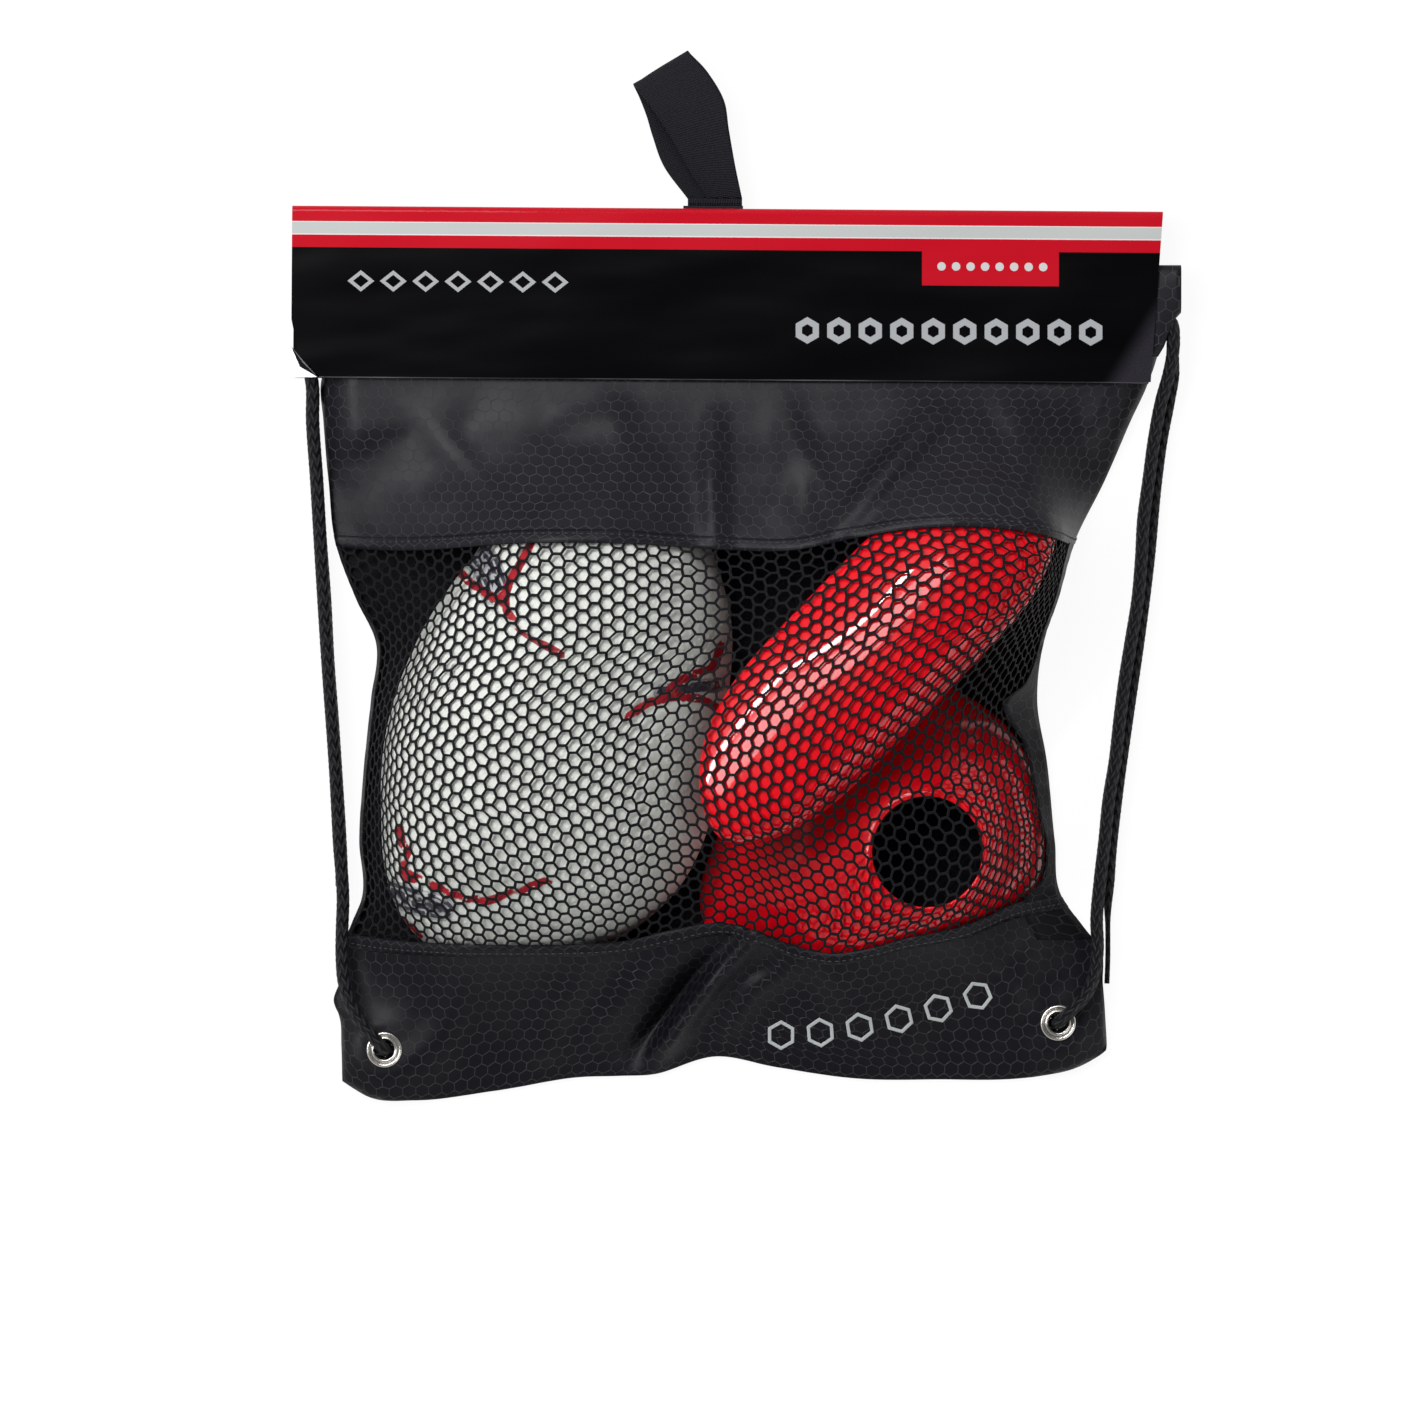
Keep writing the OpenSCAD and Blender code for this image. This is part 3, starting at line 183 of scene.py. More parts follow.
# Slack places of the ball's upper side: points in plan, width, height
BALL_DENTS = (
    ([(-154, -51), (-142, -56), (-141, -63), (-154, -64)], 4, -2.4),
    ([(-106, -20), (-120, -32), (-129, -48)], 6, -2.2),
    ([(-60, -10), (-52, -40), (-44, -66)], 6, -1.2),
    ([(-150, -126), (-120, -142), (-84, -138)], 6, -2.0),
    ([(-8, -50), (-22, -52), (-46, -62)], 5, -1.8),
)

# Lowest print and lowest slack place on the ball, metres, and a distance that marks no print
PRINT_LOW_Z = 0.012
DENT_LOW_Z = 0.02
DENT_FADE = 0.02
UNPRINTED = 1e3

# Routes of the free cords, millimetres, as in the frame
LEFT_FRONT_ROUTE = [
    (-184.3, 108.5, 13.1), (-188.5, 108, 13.1), (-191.8, 105.5, 13), (-193, 101, 12.8),
    (-192.5, 95, 12.4), (-190.6, 86, 11.6), (-190.4, 69.5, 10.4), (-188.6, 42.5, 9.8),
    (-187, 15.5, 9.7), (-183.6, -38.5, 9.7), (-179.8, -92.5, 9.7), (-178.4, -119.5, 9.7),
    (-176.6, -146.5, 9.9), (-177, -160, 10.6), (-177, -172, 12), (-176, -183, 13.2),
    (-173.4, -192, 14.2), (-169, -200, 15.4), (-165, -205, 16.6), (-161.4, -209, 16.8),
    (-159, -212, 15.2), (-158, -213.3, 12), (-158, -213.3, 7.2),
]
LEFT_REAR_ROUTE = [
    (-184.3, 108.5, 4.8), (-188.5, 108, 4.8), (-191.8, 105.5, 4.8), (-193, 101, 4.7),
    (-192.5, 95, 4.4), (-190.6, 86, 4), (-190.4, 69.5, 3.3), (-188.6, 42.5, 3.3),
    (-187, 15.5, 3.3), (-185, -11.5, 3.3), (-183.6, -38.5, 3.3), (-181.6, -65.5, 3.3),
    (-179.8, -92.5, 3.3), (-178.4, -115, 3.3), (-177.6, -132, 3.3), (-177.4, -140, 3.3),
]
RIGHT_FRONT_ROUTE = [
    (187.5, 116, 13.1), (192, 115.4, 13.1), (195, 112.5, 13), (196, 106, 12.6),
    (195.5, 98, 12), (194, 90, 11.4), (190.8, 78.5, 10.6), (187.4, 60.5, 10),
    (185, 42.5, 9.8), (182.6, 24.5, 9.7), (181.6, 6.5, 9.7), (180, -11.5, 9.7),
    (177.1, -29.5, 9.7), (174.2, -47.5, 9.7), (171.9, -65.5, 9.7), (169.9, -83.5, 9.7),
    (167, -101.5, 9.7), (165.2, -119.5, 9.7), (163.1, -137.5, 9.7), (161.6, -155.5, 9.6),
    (162, -168, 9.4), (160.7, -178.9, 9.8), (155.5, -190.1, 14.4), (151.5, -194.2, 16.6),
    (147.6, -197.9, 16.8), (145.2, -200.3, 15.2), (144.2, -201.3, 12), (144.2, -201.3, 7.2),
]
RIGHT_REAR_ROUTE = [
    (187.5, 116, 4.8), (192, 115.4, 4.8), (195, 112.5, 4.8), (196, 106, 4.8),
    (196, 98, 4.6), (196.2, 90, 4.2), (194.4, 78.5, 3.6), (191, 60.5, 3.3),
    (188.6, 42.5, 3.3), (185.2, 6.5, 3.3), (180.7, -29.5, 3.3), (175.5, -65.5, 3.3),
    (170.6, -101.5, 3.3), (167.8, -128, 3.3), (166.9, -148, 3.1), (167, -162, 2),
    (167, -172, 1.6), (166.6, -184, 1.6),
]

# The sealed tail's start and end along its cord, and the knots, millimetres
TAIL_SHARES = (0.84, 0.92)
KNOT_REACH = 1.75
KNOT_RISE = 1.5
KNOT_Z = 3.3
KNOT_STEPS = 90
# Distance between the points of a cord, metres
CORD_STEP = 0.0013

# The hanging loop: left edge, right edge and height in shares of its half width, length and height
LOOP_STATIONS = [
    ((0.05, 0.023), (0.61, 0.023), 0.16), ((-0.23, 0.21), (0.5, 0.24), 0.42),
    ((-0.58, 0.46), (0.4, 0.48), 0.58), ((-0.84, 0.63), (0.32, 0.68), 0.56),
    ((-1.03, 0.74), (0.06, 0.87), 0.38), ((-1.11, 0.78), (-0.2, 0.99), 0.16),
    ((-1.13, 0.79), (-0.26, 1.02), 0), ((-1.11, 0.77), (-0.22, 0.98), -0.16),
    ((-1.03, 0.7), (0, 0.84), -0.38), ((-0.92, 0.58), (0.22, 0.66), -0.56),
    ((-0.82, 0.44), (0.28, 0.46), -0.58), ((-0.64, 0.24), (0.34, 0.24), -0.42),
    ((-0.26, 0.023), (0.52, 0.023), -0.16),
]
LOOP_MID_X = -14.6
LOOP_HALF_W = 28
LOOP_L = 66.5
LOOP_H = 8
HINGE_Y = 167.1
HINGE_Z = 8.95
FOOT_R = 2.15
FOOT_SHARES = (-0.26, 0.61)
# Unevenness of the tape, metres, and how fast it changes
TAPE_UNEVEN = 0.0004
TAPE_UNEVEN_RATE = 60

# Front of the bag, millimetres: its grid, its height over the floor, around an eyelet and at
# the mouth
FRONT_X = (-204, 206)
FRONT_Y = (-242, 124)
FRONT_PITCH = 2.0
FRONT_LOW = 1.2
EYELET_RISE = 9.3
EYELET_FLAT_R = 12.3
EYELET_SLOPE_W = 16
EYELET_HOLE_R = 4.8
MOUTH_Y = 88
MOUTH_SLOPE = (30, 68)
MOUTH_RISE = 13.2
MOUTH_RIM_W = 14
DOME_H = 30
DOME_W = 60
TOP_SEAM_Y = 103

# How high the sewn strips, the net and the stitches lie over the front, metres
HEM_LIFT = 0.0009
EDGING_LIFT = 0.0006
NET_LIFT = 0.0003
STITCH_LIFT = 0.0014
STITCH_SIZE = (0.0011, 0.00032, 0.00025)
# Least share of the net's area that is yarn
YARN_SHARE = 0.31

# Where the cloth is slack enough for folds, and how uneven it is, millimetres
SLACK_EDGE_W = 12
SLACK_TOP_Y = 86
SLACK_TOP_W = 16
UNEVEN_H = 0.7
UNEVEN_SEED = 7
UNEVEN_STEPS = 14

# Back of the bag, millimetres, which the knots lift around the eyelets
BACK_TOP_Y = 98
KNOT_LIFT = 8.1
KNOT_FLAT_R = 9.2
KNOT_SLOPE_W = 8

# Channels at the mouth, millimetres
CHANNEL_X = -184
CHANNEL_L = 383.2
CHANNEL_TOP_Y = 138.5
CHANNEL_HALF_W = 20.75
CHANNEL_HALF_H = 3.9
OPEN_END = (188, 199.2)
OPEN_END_DRAW = 10
PUCKER_H = 0.8
PUCKER_RATE = 0.9

# Print on the card, metres: from and to, with rows of plain shapes in place of words
RED_STRIPES = ((0.1566, 0.1664), (0.1450, 0.1506))
SILVER_STRIPE = (0.1511, 0.1562)
WHITE_BORDER = (0.1504, 0.1568)
TAB_X = (0.083, 0.1443)
TAB_Y = (0.1297, 0.1455)
CARD_FRONT_Z = 0.010
CARD_TILT = 0.4
# Shape, from and to, height, pitch, outer and inner size, colour
PRINT_ROWS = (
    ("hexagon", (0.0246, 0.1656), 0.1092, 0.0141, (0.0052, 0.0024), (0.30, 0.31, 0.32)),
    ("diamond", (-0.1755, -0.074), 0.1300, 0.0145, (0.0048, 0.0028), (0.31, 0.32, 0.32)),
    ("dot", (0.0885, 0.1405), 0.1383, 0.0065, (0.0019, 0.0), (0.46, 0.46, 0.46)),
)

# Stage, metres: what the lamps face, how far from it they stand, and the floor
LAMP_TARGET = Vector((0, -0.06, 0.03))
LAMP_DISTANCE = 2.2
FLOOR_HALF = 6.0
FLOOR_Z = -0.0004

# Contents that the front of the bag lies over, and the height field that it makes
contents = {}
front = {}


# Curves and surfaces


class Line:
    """A smooth curve through points that stand in order along it."""

    def __init__(self, points):
        self.at = np.array([p[0] for p in points], float)
        self.value = np.array([p[1] for p in points], float)
        self.slope = np.gradient(self.value, self.at)

    def __call__(self, t):
        t = np.clip(np.asarray(t, float), self.at[0], self.at[-1])
        k = np.clip(np.searchsorted(self.at, t) - 1, 0, len(self.at) - 2)
        step = self.at[k + 1] - self.at[k]
        f = (t - self.at[k]) / step
        rise = self.value[k + 1] - self.value[k]
        a = self.slope[k] * step - rise
        b = rise - self.slope[k + 1] * step
        return self.value[k] + f * rise + f * (1 - f) * ((1 - f) * a + f * b)


LEFT_EDGE = Line([(y, left) for y, left, right in SIDE_POINTS])
RIGHT_EDGE = Line([(y, right) for y, left, right in SIDE_POINTS])
BOTTOM_EDGE = Line(BOTTOM_POINTS)
LOWER_SEAM = Line(LOWER_SEAM_POINTS)
UPPER_SEAM = Line(UPPER_SEAM_POINTS)


class Surface:
    """A sheet given by its points, laid out evenly by the distance along it."""

    def __init__(self, place, rows=90, cols=180):
        v, u = np.meshgrid(np.linspace(0, 1, rows), np.linspace(0, 1, cols), indexing="ij")
        points = np.stack(place(u, v), axis=-1)
        points, self.width = self._even(points)
        points, self.length = self._even(points.transpose(1, 0, 2))
        self.points = points.transpose(1, 0, 2)
        self.flat = (self.width, self.length)

    @staticmethod
    def _even(lines):
        """Spreads the points of each line evenly, and says how long the lines are on average."""
        steps = np.linalg.norm(np.diff(lines, axis=1), axis=2)
        run = np.concatenate([np.zeros((len(lines), 1)), np.cumsum(steps, axis=1)], axis=1)
        share = np.linspace(0, 1, lines.shape[1])
        out = np.empty_like(lines)
        for k, line in enumerate(lines):
            for axis in range(3):
                out[k, :, axis] = np.interp(share, run[k] / run[k, -1], line[:, axis])
        return out, float(run[:, -1].mean())

    def at(self, a, b):
        """The points at shares a across and b along."""
        rows, cols = self.points.shape[:2]
        x = np.clip(a, 0, 1) * (cols - 1)
        y = np.clip(b, 0, 1) * (rows - 1)
        i = np.minimum(y.astype(int), rows - 2)
        j = np.minimum(x.astype(int), cols - 2)
        fx = (x - j)[:, None]
        fy = (y - i)[:, None]
        p = self.points
        return (
            (p[i, j] * (1 - fx) + p[i, j + 1] * fx) * (1 - fy)
            + (p[i + 1, j] * (1 - fx) + p[i + 1, j + 1] * fx) * fy
        )

    def normal(self, a, b):
        e = 0.004
        across = self.at(np.minimum(a + e, 1), b) - self.at(np.maximum(a - e, 0), b)
        along = self.at(a, np.minimum(b + e, 1)) - self.at(a, np.maximum(b - e, 0))
        n = np.cross(across, along)
        return n / np.maximum(np.linalg.norm(n, axis=1), 1e-9)[:, None]


def between(start, end, share):
    return start + (end - start) * share


def ease(t, low, high):
    """Goes smoothly from 0 at low to 1 at high."""
    f = np.clip((t - low) / (high - low), 0, 1)
    return f * f * (3 - 2 * f)


def ring_value(shares, degrees):
    """A smooth closed curve through shares that stand at even angles."""
    n = len(shares)
    f = degrees / 360 * n
    k = math.floor(f)
    t = f - k
    p0, p1, p2, p3 = (shares[(k + i) % n] for i in (-1, 0, 1, 2))
    return p1 + t * (
        (p2 - p0) + t * ((2 * p0 - 5 * p1 + 4 * p2 - p3) + t * (3 * (p1 - p2) + p3 - p0))
    ) / 2


def smooth_route(route, step):
    """Points every step along a smooth curve through the route's points, in metres."""
    points = np.array(route, float) * MM
    run = np.concatenate([[0], np.cumsum(np.linalg.norm(np.diff(points, axis=0), axis=1))])
    lines = [Line(list(zip(run, points[:, axis]))) for axis in range(3)]
    fine = np.linspace(0, run[-1], 2000)
    dense = np.stack([line(fine) for line in lines], axis=1)
    length = np.concatenate([[0], np.cumsum(np.linalg.norm(np.diff(dense, axis=0), axis=1))])
    count = max(8, round(length[-1] / step))
    at = np.linspace(0, length[-1], count + 1)
    even = np.stack([np.interp(at, length, dense[:, axis]) for axis in range(3)], axis=1)
    return [Vector(p) for p in even], float(length[-1])


# Pieces


def new_piece(
    name, bm, material, body="pack", thickness=0.0, offset=0.0, subdivide=False
):
    """Makes an object from a bmesh, with its finish, body, thickness and smoothing."""
    mesh = bpy.data.meshes.new(name)
    for face in bm.faces:
        face.smooth = True
    bm.to_mesh(mesh)
    bm.free()
    piece = bpy.data.objects.new(name, mesh)
    bpy.context.scene.collection.objects.link(piece)
    mesh.materials.append(material)
    if thickness:
        modifier = piece.modifiers.new("Thickness", "SOLIDIFY")
        modifier.thickness = thickness
        modifier.offset = offset
        modifier.use_even_offset = False
    if subdivide:
        modifier = piece.modifiers.new("Smooth", "SUBSURF")
        modifier.levels = 1
        modifier.render_levels = 1
    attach(piece, body)
    return piece


def grid(cols, rows):
    """A flat grid around the origin, one unit wide and one unit long."""
    bm = bmesh.new()
    bmesh.ops.create_grid(bm, x_segments=cols, y_segments=rows, size=0.5)
    bm.verts.ensure_lookup_table()
    return bm


def set_uv(bm, flat):
    """Gives each corner of each face the place in the UV map that flat works out."""
    layer = bm.loops.layers.uv.verify()
    for face in bm.faces:
        for loop in face.loops:
            loop[layer].uv = flat(face, loop.vert)


def lay_on(bm, surface, b_range=(0, 1), lift=0.0):
    """Moves a flat bmesh on to a surface, or a part of its length, with its UV map in metres."""
    flat = np.array([v.co[:2] for v in bm.verts]) + 0.5
    a = flat[:, 0]
    b = between(*b_range, flat[:, 1])
    places = surface.at(a, b)
    if lift:
        places = places + surface.normal(a, b) * lift
    run = np.stack([a, b], axis=1) * surface.flat
    set_uv(bm, lambda face, vert: run[vert.index])
    for vert, place in zip(bm.verts, places):
        vert.co = place
    return bm


def close_seam(bm):
    """Joins the points that meet and turns the faces outwards."""
    bmesh.ops.remove_doubles(bm, verts=bm.verts, dist=1e-6)
    bmesh.ops.recalc_face_normals(bm, faces=bm.faces)


def tube(points, radius, sides, wave=None):
    """A closed tube along points, with its length and girth in its UV map, in metres."""
    last = len(points) - 1
    bm = grid(sides, last)
    tangents = [
        (points[min(k + 1, last)] - points[max(k - 1, 0)]).normalized() for k in range(last + 1)
    ]
    side = tangents[0].orthogonal().normalized()
    frames = []
    run = [0.0]
    for k, tangent in enumerate(tangents):
        side = (side - tangent * side.dot(tangent)).normalized()
        frames.append((side.copy(), tangent.cross(side)))
        if k:
            run.append(run[-1] + (points[k] - points[k - 1]).length)
    girth = 2 * math.pi * (radius(0) if callable(radius) else radius)

    def row(vert):
        return round((vert.co.y + 0.5) * last)

    set_uv(bm, lambda face, vert: ((vert.co.x + 0.5) * girth, run[row(vert)]))
    for vert in bm.verts:
        turn = 2 * math.pi * (vert.co.x + 0.5)
        k = row(vert)
        r = radius(k / last) if callable(radius) else radius
        if wave:
            r *= wave(turn, run[k])
        across, up = frames[k]
        vert.co = points[k] + r * (math.cos(turn) * across + math.sin(turn) * up)
    bmesh.ops.remove_doubles(bm, verts=bm.verts, dist=1e-6)
    ends = [edge for edge in bm.edges if edge.is_boundary]
    bmesh.ops.holes_fill(bm, edges=ends, sides=0)
    bmesh.ops.recalc_face_normals(bm, faces=bm.faces)
    return bm


# Materials


def math_node(operation, swapped=False):
    """A method of Field that adds the node for one operation."""

    def method(field, *others):
        values = [field, *others]
        if swapped:
            values.reverse()
        return field.finish.node("ShaderNodeMath", {"operation": operation}, values)

    return method


class Field:
    """A value of a material's nodes, whose arithmetic adds the nodes that work it out."""

    def __init__(self, finish, socket):
        self.finish = finish
        self.socket = socket

    __add__ = __radd__ = math_node("ADD")
    __mul__ = __rmul__ = math_node("MULTIPLY")
    __sub__ = math_node("SUBTRACT")
    __rsub__ = math_node("SUBTRACT", swapped=True)
    __truediv__ = math_node("DIVIDE")
    __mod__ = math_node("FLOORED_MODULO")
    __lt__ = math_node("LESS_THAN")
    __gt__ = math_node("GREATER_THAN")
    __abs__ = math_node("ABSOLUTE")
    most = math_node("MAXIMUM")
    sine = math_node("SINE")
    root = math_node("SQRT")

    def step(self, low, high):
        """Goes smoothly from 0 at low to 1 at high."""
        return self.finish.node(
            "ShaderNodeMapRange", {"interpolation_type": "SMOOTHSTEP"}, [self, low, high, 0.0, 1.0]
        )


class Finish:
    """A material whose look is written as expressions."""

    def __init__(self, name, **constants):
        self.material = bpy.data.materials.new(name)
        self.material.use_nodes = True
        self.nodes = self.material.node_tree.nodes
        self.links = self.material.node_tree.links
        self.shader = self.nodes["Principled BSDF"]
        for socket, value in constants.items():
            self.set(socket.replace("_", " "), value)

    def set(self, socket, value):
        """Sets a socket of the shader, or links a value to it."""
        if isinstance(value, Field):
            self.links.new(value.socket, self.shader.inputs[socket])
        else:
            self.shader.inputs[socket].default_value = value

    def node(self, kind, settings=None, values=(), output=0):
        """Adds a node with its settings and the values or links of its sockets."""
        node = self.nodes.new(kind)
        for key, value in (settings or {}).items():
            setattr(node, key, value)
        pairs = values.items() if isinstance(values, dict) else enumerate(values)
        for key, value in pairs:
            if isinstance(value, Field):
                self.links.new(value.socket, node.inputs[key])
            elif value is not None:
                node.inputs[key].default_value = value
        return Field(self, node.outputs[output])

    def place(self, source="Object"):
        """Object coordinates, or the UV map."""
        return self.node("ShaderNodeTexCoord", output=source)

    def split(self, place):
        """The three values of a place."""
        first = self.node("ShaderNodeSeparateXYZ", values=[place])
        return [Field(self, output) for output in first.socket.node.outputs]

    def attribute(self, name):
        """A value that the mesh carries at its points."""
        return self.node("ShaderNodeAttribute", {"attribute_name": name}, output="Fac")

    def cloud(self, place, scale, detail=2.0, roughness=0.5):
        values = {"Vector": place, "Scale": scale, "Detail": detail, "Roughness": roughness}
        return self.node("ShaderNodeTexNoise", values=values)

    def mix(self, share, first, second):
        """A colour between two colours."""
        first, second = (
            tint if isinstance(tint, Field) else (*tint, 1.0) for tint in (first, second)
        )
        values = {0: share, 6: first, 7: second}
        return self.node("ShaderNodeMix", {"data_type": "RGBA"}, values, output=2)

    def surface(self, colour, roughness, height, distance, strength=0.9):
        """Links the values that every finish works out, and gives the material."""
        self.set("Base Color", colour)
        self.set("Roughness", roughness)
        bump = {"Strength": strength, "Distance": distance, "Height": height}
        self.set("Normal", self.node("ShaderNodeBump", values=bump))
        return self.material

    def hexagons(self, x, y, pitch):
        """Distance from the middle of the nearest six-sided cell, 1 at its edges."""
        rise = 2 * SLANT
        halves = []
        for shift in (0.0, 0.5):
            cell_x = (x / pitch + shift) % 1.0 - 0.5
            cell_y = (y / pitch + shift * rise) % rise - SLANT
            halves.append((cell_x, cell_y, cell_x * cell_x + cell_y * cell_y))
        first, second = halves
        pick = first[2] < second[2]
        near_x = abs(second[0] + pick * (first[0] - second[0]))
        near_y = abs(second[1] + pick * (first[1] - second[1]))
        return near_x.most(near_x * 0.5 + near_y * SLANT) * 2


def cloth_finish(name="Ripstop cloth", dim=1.0):
    """Black woven nylon with a faint honeycomb of thicker threads. A dim below 1 darkens its
    colours and gloss: painted shade on the back seen through the net and on the lower front, and a
    darker edging.
    """
    look = bpy.context.scene.netball_bag
    finish = Finish(name, Specular_IOR_Level=0.2 * dim)
    place = finish.place("UV")
    u, v, _ = finish.split(place)
    wide = finish.cloud(place, 14.0, 3.0)
    fine = finish.cloud(place, 900.0)
    ripple = finish.cloud(place, 60.0, 3.0)
    wander = (ripple - 0.5) * 0.0018
    lines = finish.hexagons(u + wander, v + wander, look.ripstop_pitch).step(0.905, 0.985)
    weave = (u * look.weave_rate).sine() * (v * look.weave_rate).sine()
    worn = lines * (fine * 1.5 + ripple - 0.35)
    dark, light, thread = (
        [part * dim for part in tint]
        for tint in (look.cloth_dark, look.cloth_light, look.ripstop_thread)
    )
    base = finish.mix((wide - 0.5) * 0.5 + 0.5, dark, light)
    return finish.surface(
        finish.mix(worn * 0.75, base, thread), 0.42 + 0.12 * (fine - 0.5) - 0.08 * lines,
        weave * 0.08 + lines * 0.5 + (ripple - 0.5) * 1.6, 0.00035,
    )


def yarn_finish():
    """Black knitted yarn of the net."""
    look = bpy.context.scene.netball_net
    finish = Finish("Net yarn", Specular_IOR_Level=0.08)
    place = finish.place("UV")
    u, v, _ = finish.split(place)
    twist = ((u + v) * look.twist_rate).sine()
    fuzz = finish.cloud(place, 1400.0)
    return finish.surface(
        finish.mix(fuzz, look.yarn_dark, look.yarn_light), 0.62 + 0.2 * (fuzz - 0.5),
        twist * 0.5 + fuzz, 0.0002, 0.8,
    )


def cord_finish():
    """Black braid: two sets of strands that cross over and under each other, their crests painted
    lighter and their grooves darker as highlight and shade.
    """
    look = bpy.context.scene.netball_cords
    finish = Finish("Braided cord", Specular_IOR_Level=0.22)
    place = finish.place("UV")
    u, v, _ = finish.split(place)
    turns = u / (math.pi * look.diameter) * 6
    rise = v / look.braid_pitch
    left = ((turns + rise) * math.pi * 2).sine()
    right = ((turns - rise) * math.pi * 2).sine()
    over = (turns * 2) % 2.0 < 1.0
    strand = over * left + (1 - over) * right
    fibre = ((turns * 9 + rise * 14) * math.pi).sine()
    fuzz = finish.cloud(place, 900.0)
    # Painted highlight and shade: lighter on the crests of the strands, darker in the grooves
    light = strand.step(0.0, 1.0) * (0.3 + fuzz)
    return finish.surface(
        finish.mix(light, look.cord_dark, look.cord_light), 0.6 + 0.15 * (fuzz - 0.5),
        strand + 0.15 * fibre + 0.2 * fuzz, 0.0008,
    )


def metal_finish():
    """Bright nickel plate with fine wear."""
    finish = Finish("Nickel plate", Metallic=1.0)
    place = finish.place()
    scuff = finish.cloud(place, 900.0, 4.0)
    patchy_tone = finish.cloud(place, 90.0)
    return finish.surface(
        finish.mix(patchy_tone, (0.52, 0.5, 0.47), (0.78, 0.76, 0.72)), 0.16 + 0.16 * scuff,
        scuff, 0.00008, 0.5,
    )


def tape_finish():
    """Black woven tape with slanting ribs."""
    look = bpy.context.scene.netball_loop
    finish = Finish("Ribbed tape", Specular_IOR_Level=0.08)
    place = finish.place("UV")
    u, v, _ = finish.split(place)
    ribs = ((v + u * 0.12) / look.rib_pitch * math.pi * 2).sine()
    threads = (u / look.thread_pitch * math.pi).sine()
    fuzz = finish.cloud(place, 1100.0)
    return finish.surface(
        finish.mix(fuzz, look.tape_dark, look.tape_light), 0.6 + 0.15 * (fuzz - 0.5),
        ribs * 0.8 + threads * 0.25 + fuzz * 0.3, 0.0003,
    )


def inside(x, low, high, soft=0.00012):
    """A mask that is 1 between two values."""
    return x.step(low - soft, low + soft) * (1 - x.step(high - soft, high + soft))


def print_size(shape, across, rise):
    """How far a place lies from the middle of a printed shape, in its own measure."""
    if shape == "hexagon":
        return across.most(across * 0.5 + rise * SLANT)
    if shape == "diamond":
        return across * 0.8 + rise
    return (across * across + rise * rise).root()


def card_finish():
    """Black card under a gloss film, with red and silver stripes and plain shapes."""
    look = bpy.context.scene.netball_card
    finish = Finish("Laminated card", Specular_IOR_Level=0.03, Coat_Roughness=0.04)
    place = finish.place()
    x, y, z = finish.split(place)
    turned = y + x * math.tan(math.radians(CARD_TILT))
    front_side = z > CARD_FRONT_Z
    tab = inside(x, *TAB_X) * inside(turned, *TAB_Y) * front_side
    red = inside(turned, *RED_STRIPES[0]).most(inside(turned, *RED_STRIPES[1]))
    wide = finish.cloud(place, 9.0)
    speck = finish.cloud(place, 1500.0)
    colour = finish.mix(wide, (0.0006, 0.0006, 0.0009), (0.0012, 0.0012, 0.0018))
    # A lighter patch over the lower right corner
    lighter_corner = (x - 0.1636 - (y - 0.0875) * 0.62).step(0.0, 0.012) * (1 - y.step(0.116, 0.13))
    colour = finish.mix(lighter_corner * (0.35 + speck) * 0.8, colour, (0.028, 0.026, 0.034))
    colour = finish.mix(inside(turned, *WHITE_BORDER), colour, look.border_white)
    colour = finish.mix(inside(turned, *SILVER_STRIPE), colour, look.stripe_silver)
    colour = finish.mix(red.most(tab), colour, look.stripe_red)
    for shape, (start, end), height, pitch, (outer, inner), tint in PRINT_ROWS:
        across = abs((x - start) / pitch % 1.0 - 0.5) * pitch
        size = print_size(shape, across, abs(turned - height))
        ring = (size < outer) * (1 - (size < inner)) * inside(x, start, end)
        colour = finish.mix(ring * front_side, colour, tint)
    finish.set("Coat Weight", 0.08 + 0.24 * wide)
    stretched = finish.node("ShaderNodeCombineXYZ", values=[x, y * 3.0, z])
    bend = finish.cloud(stretched, 9.0, 1.5)
    return finish.surface(colour, 0.3 + 0.12 * speck, bend, 0.012, 0.5)


def cone_finish():
    """Glossy red soft plastic with a slightly uneven skin."""
    look = bpy.context.scene.netball_cones
    finish = Finish(
        "Glossy red plastic", Specular_IOR_Level=0.15, Coat_Weight=0.7, Coat_Roughness=0.05
    )
    place = finish.place()
    wide = finish.cloud(place, 22.0)
    skin = finish.cloud(place, 150.0, 3.0)
    return finish.surface(
        finish.mix(wide, look.red_deep, look.red_bright), 0.22 + 0.14 * skin,
        wide + 0.12 * skin, 0.0016, 0.5,
    )


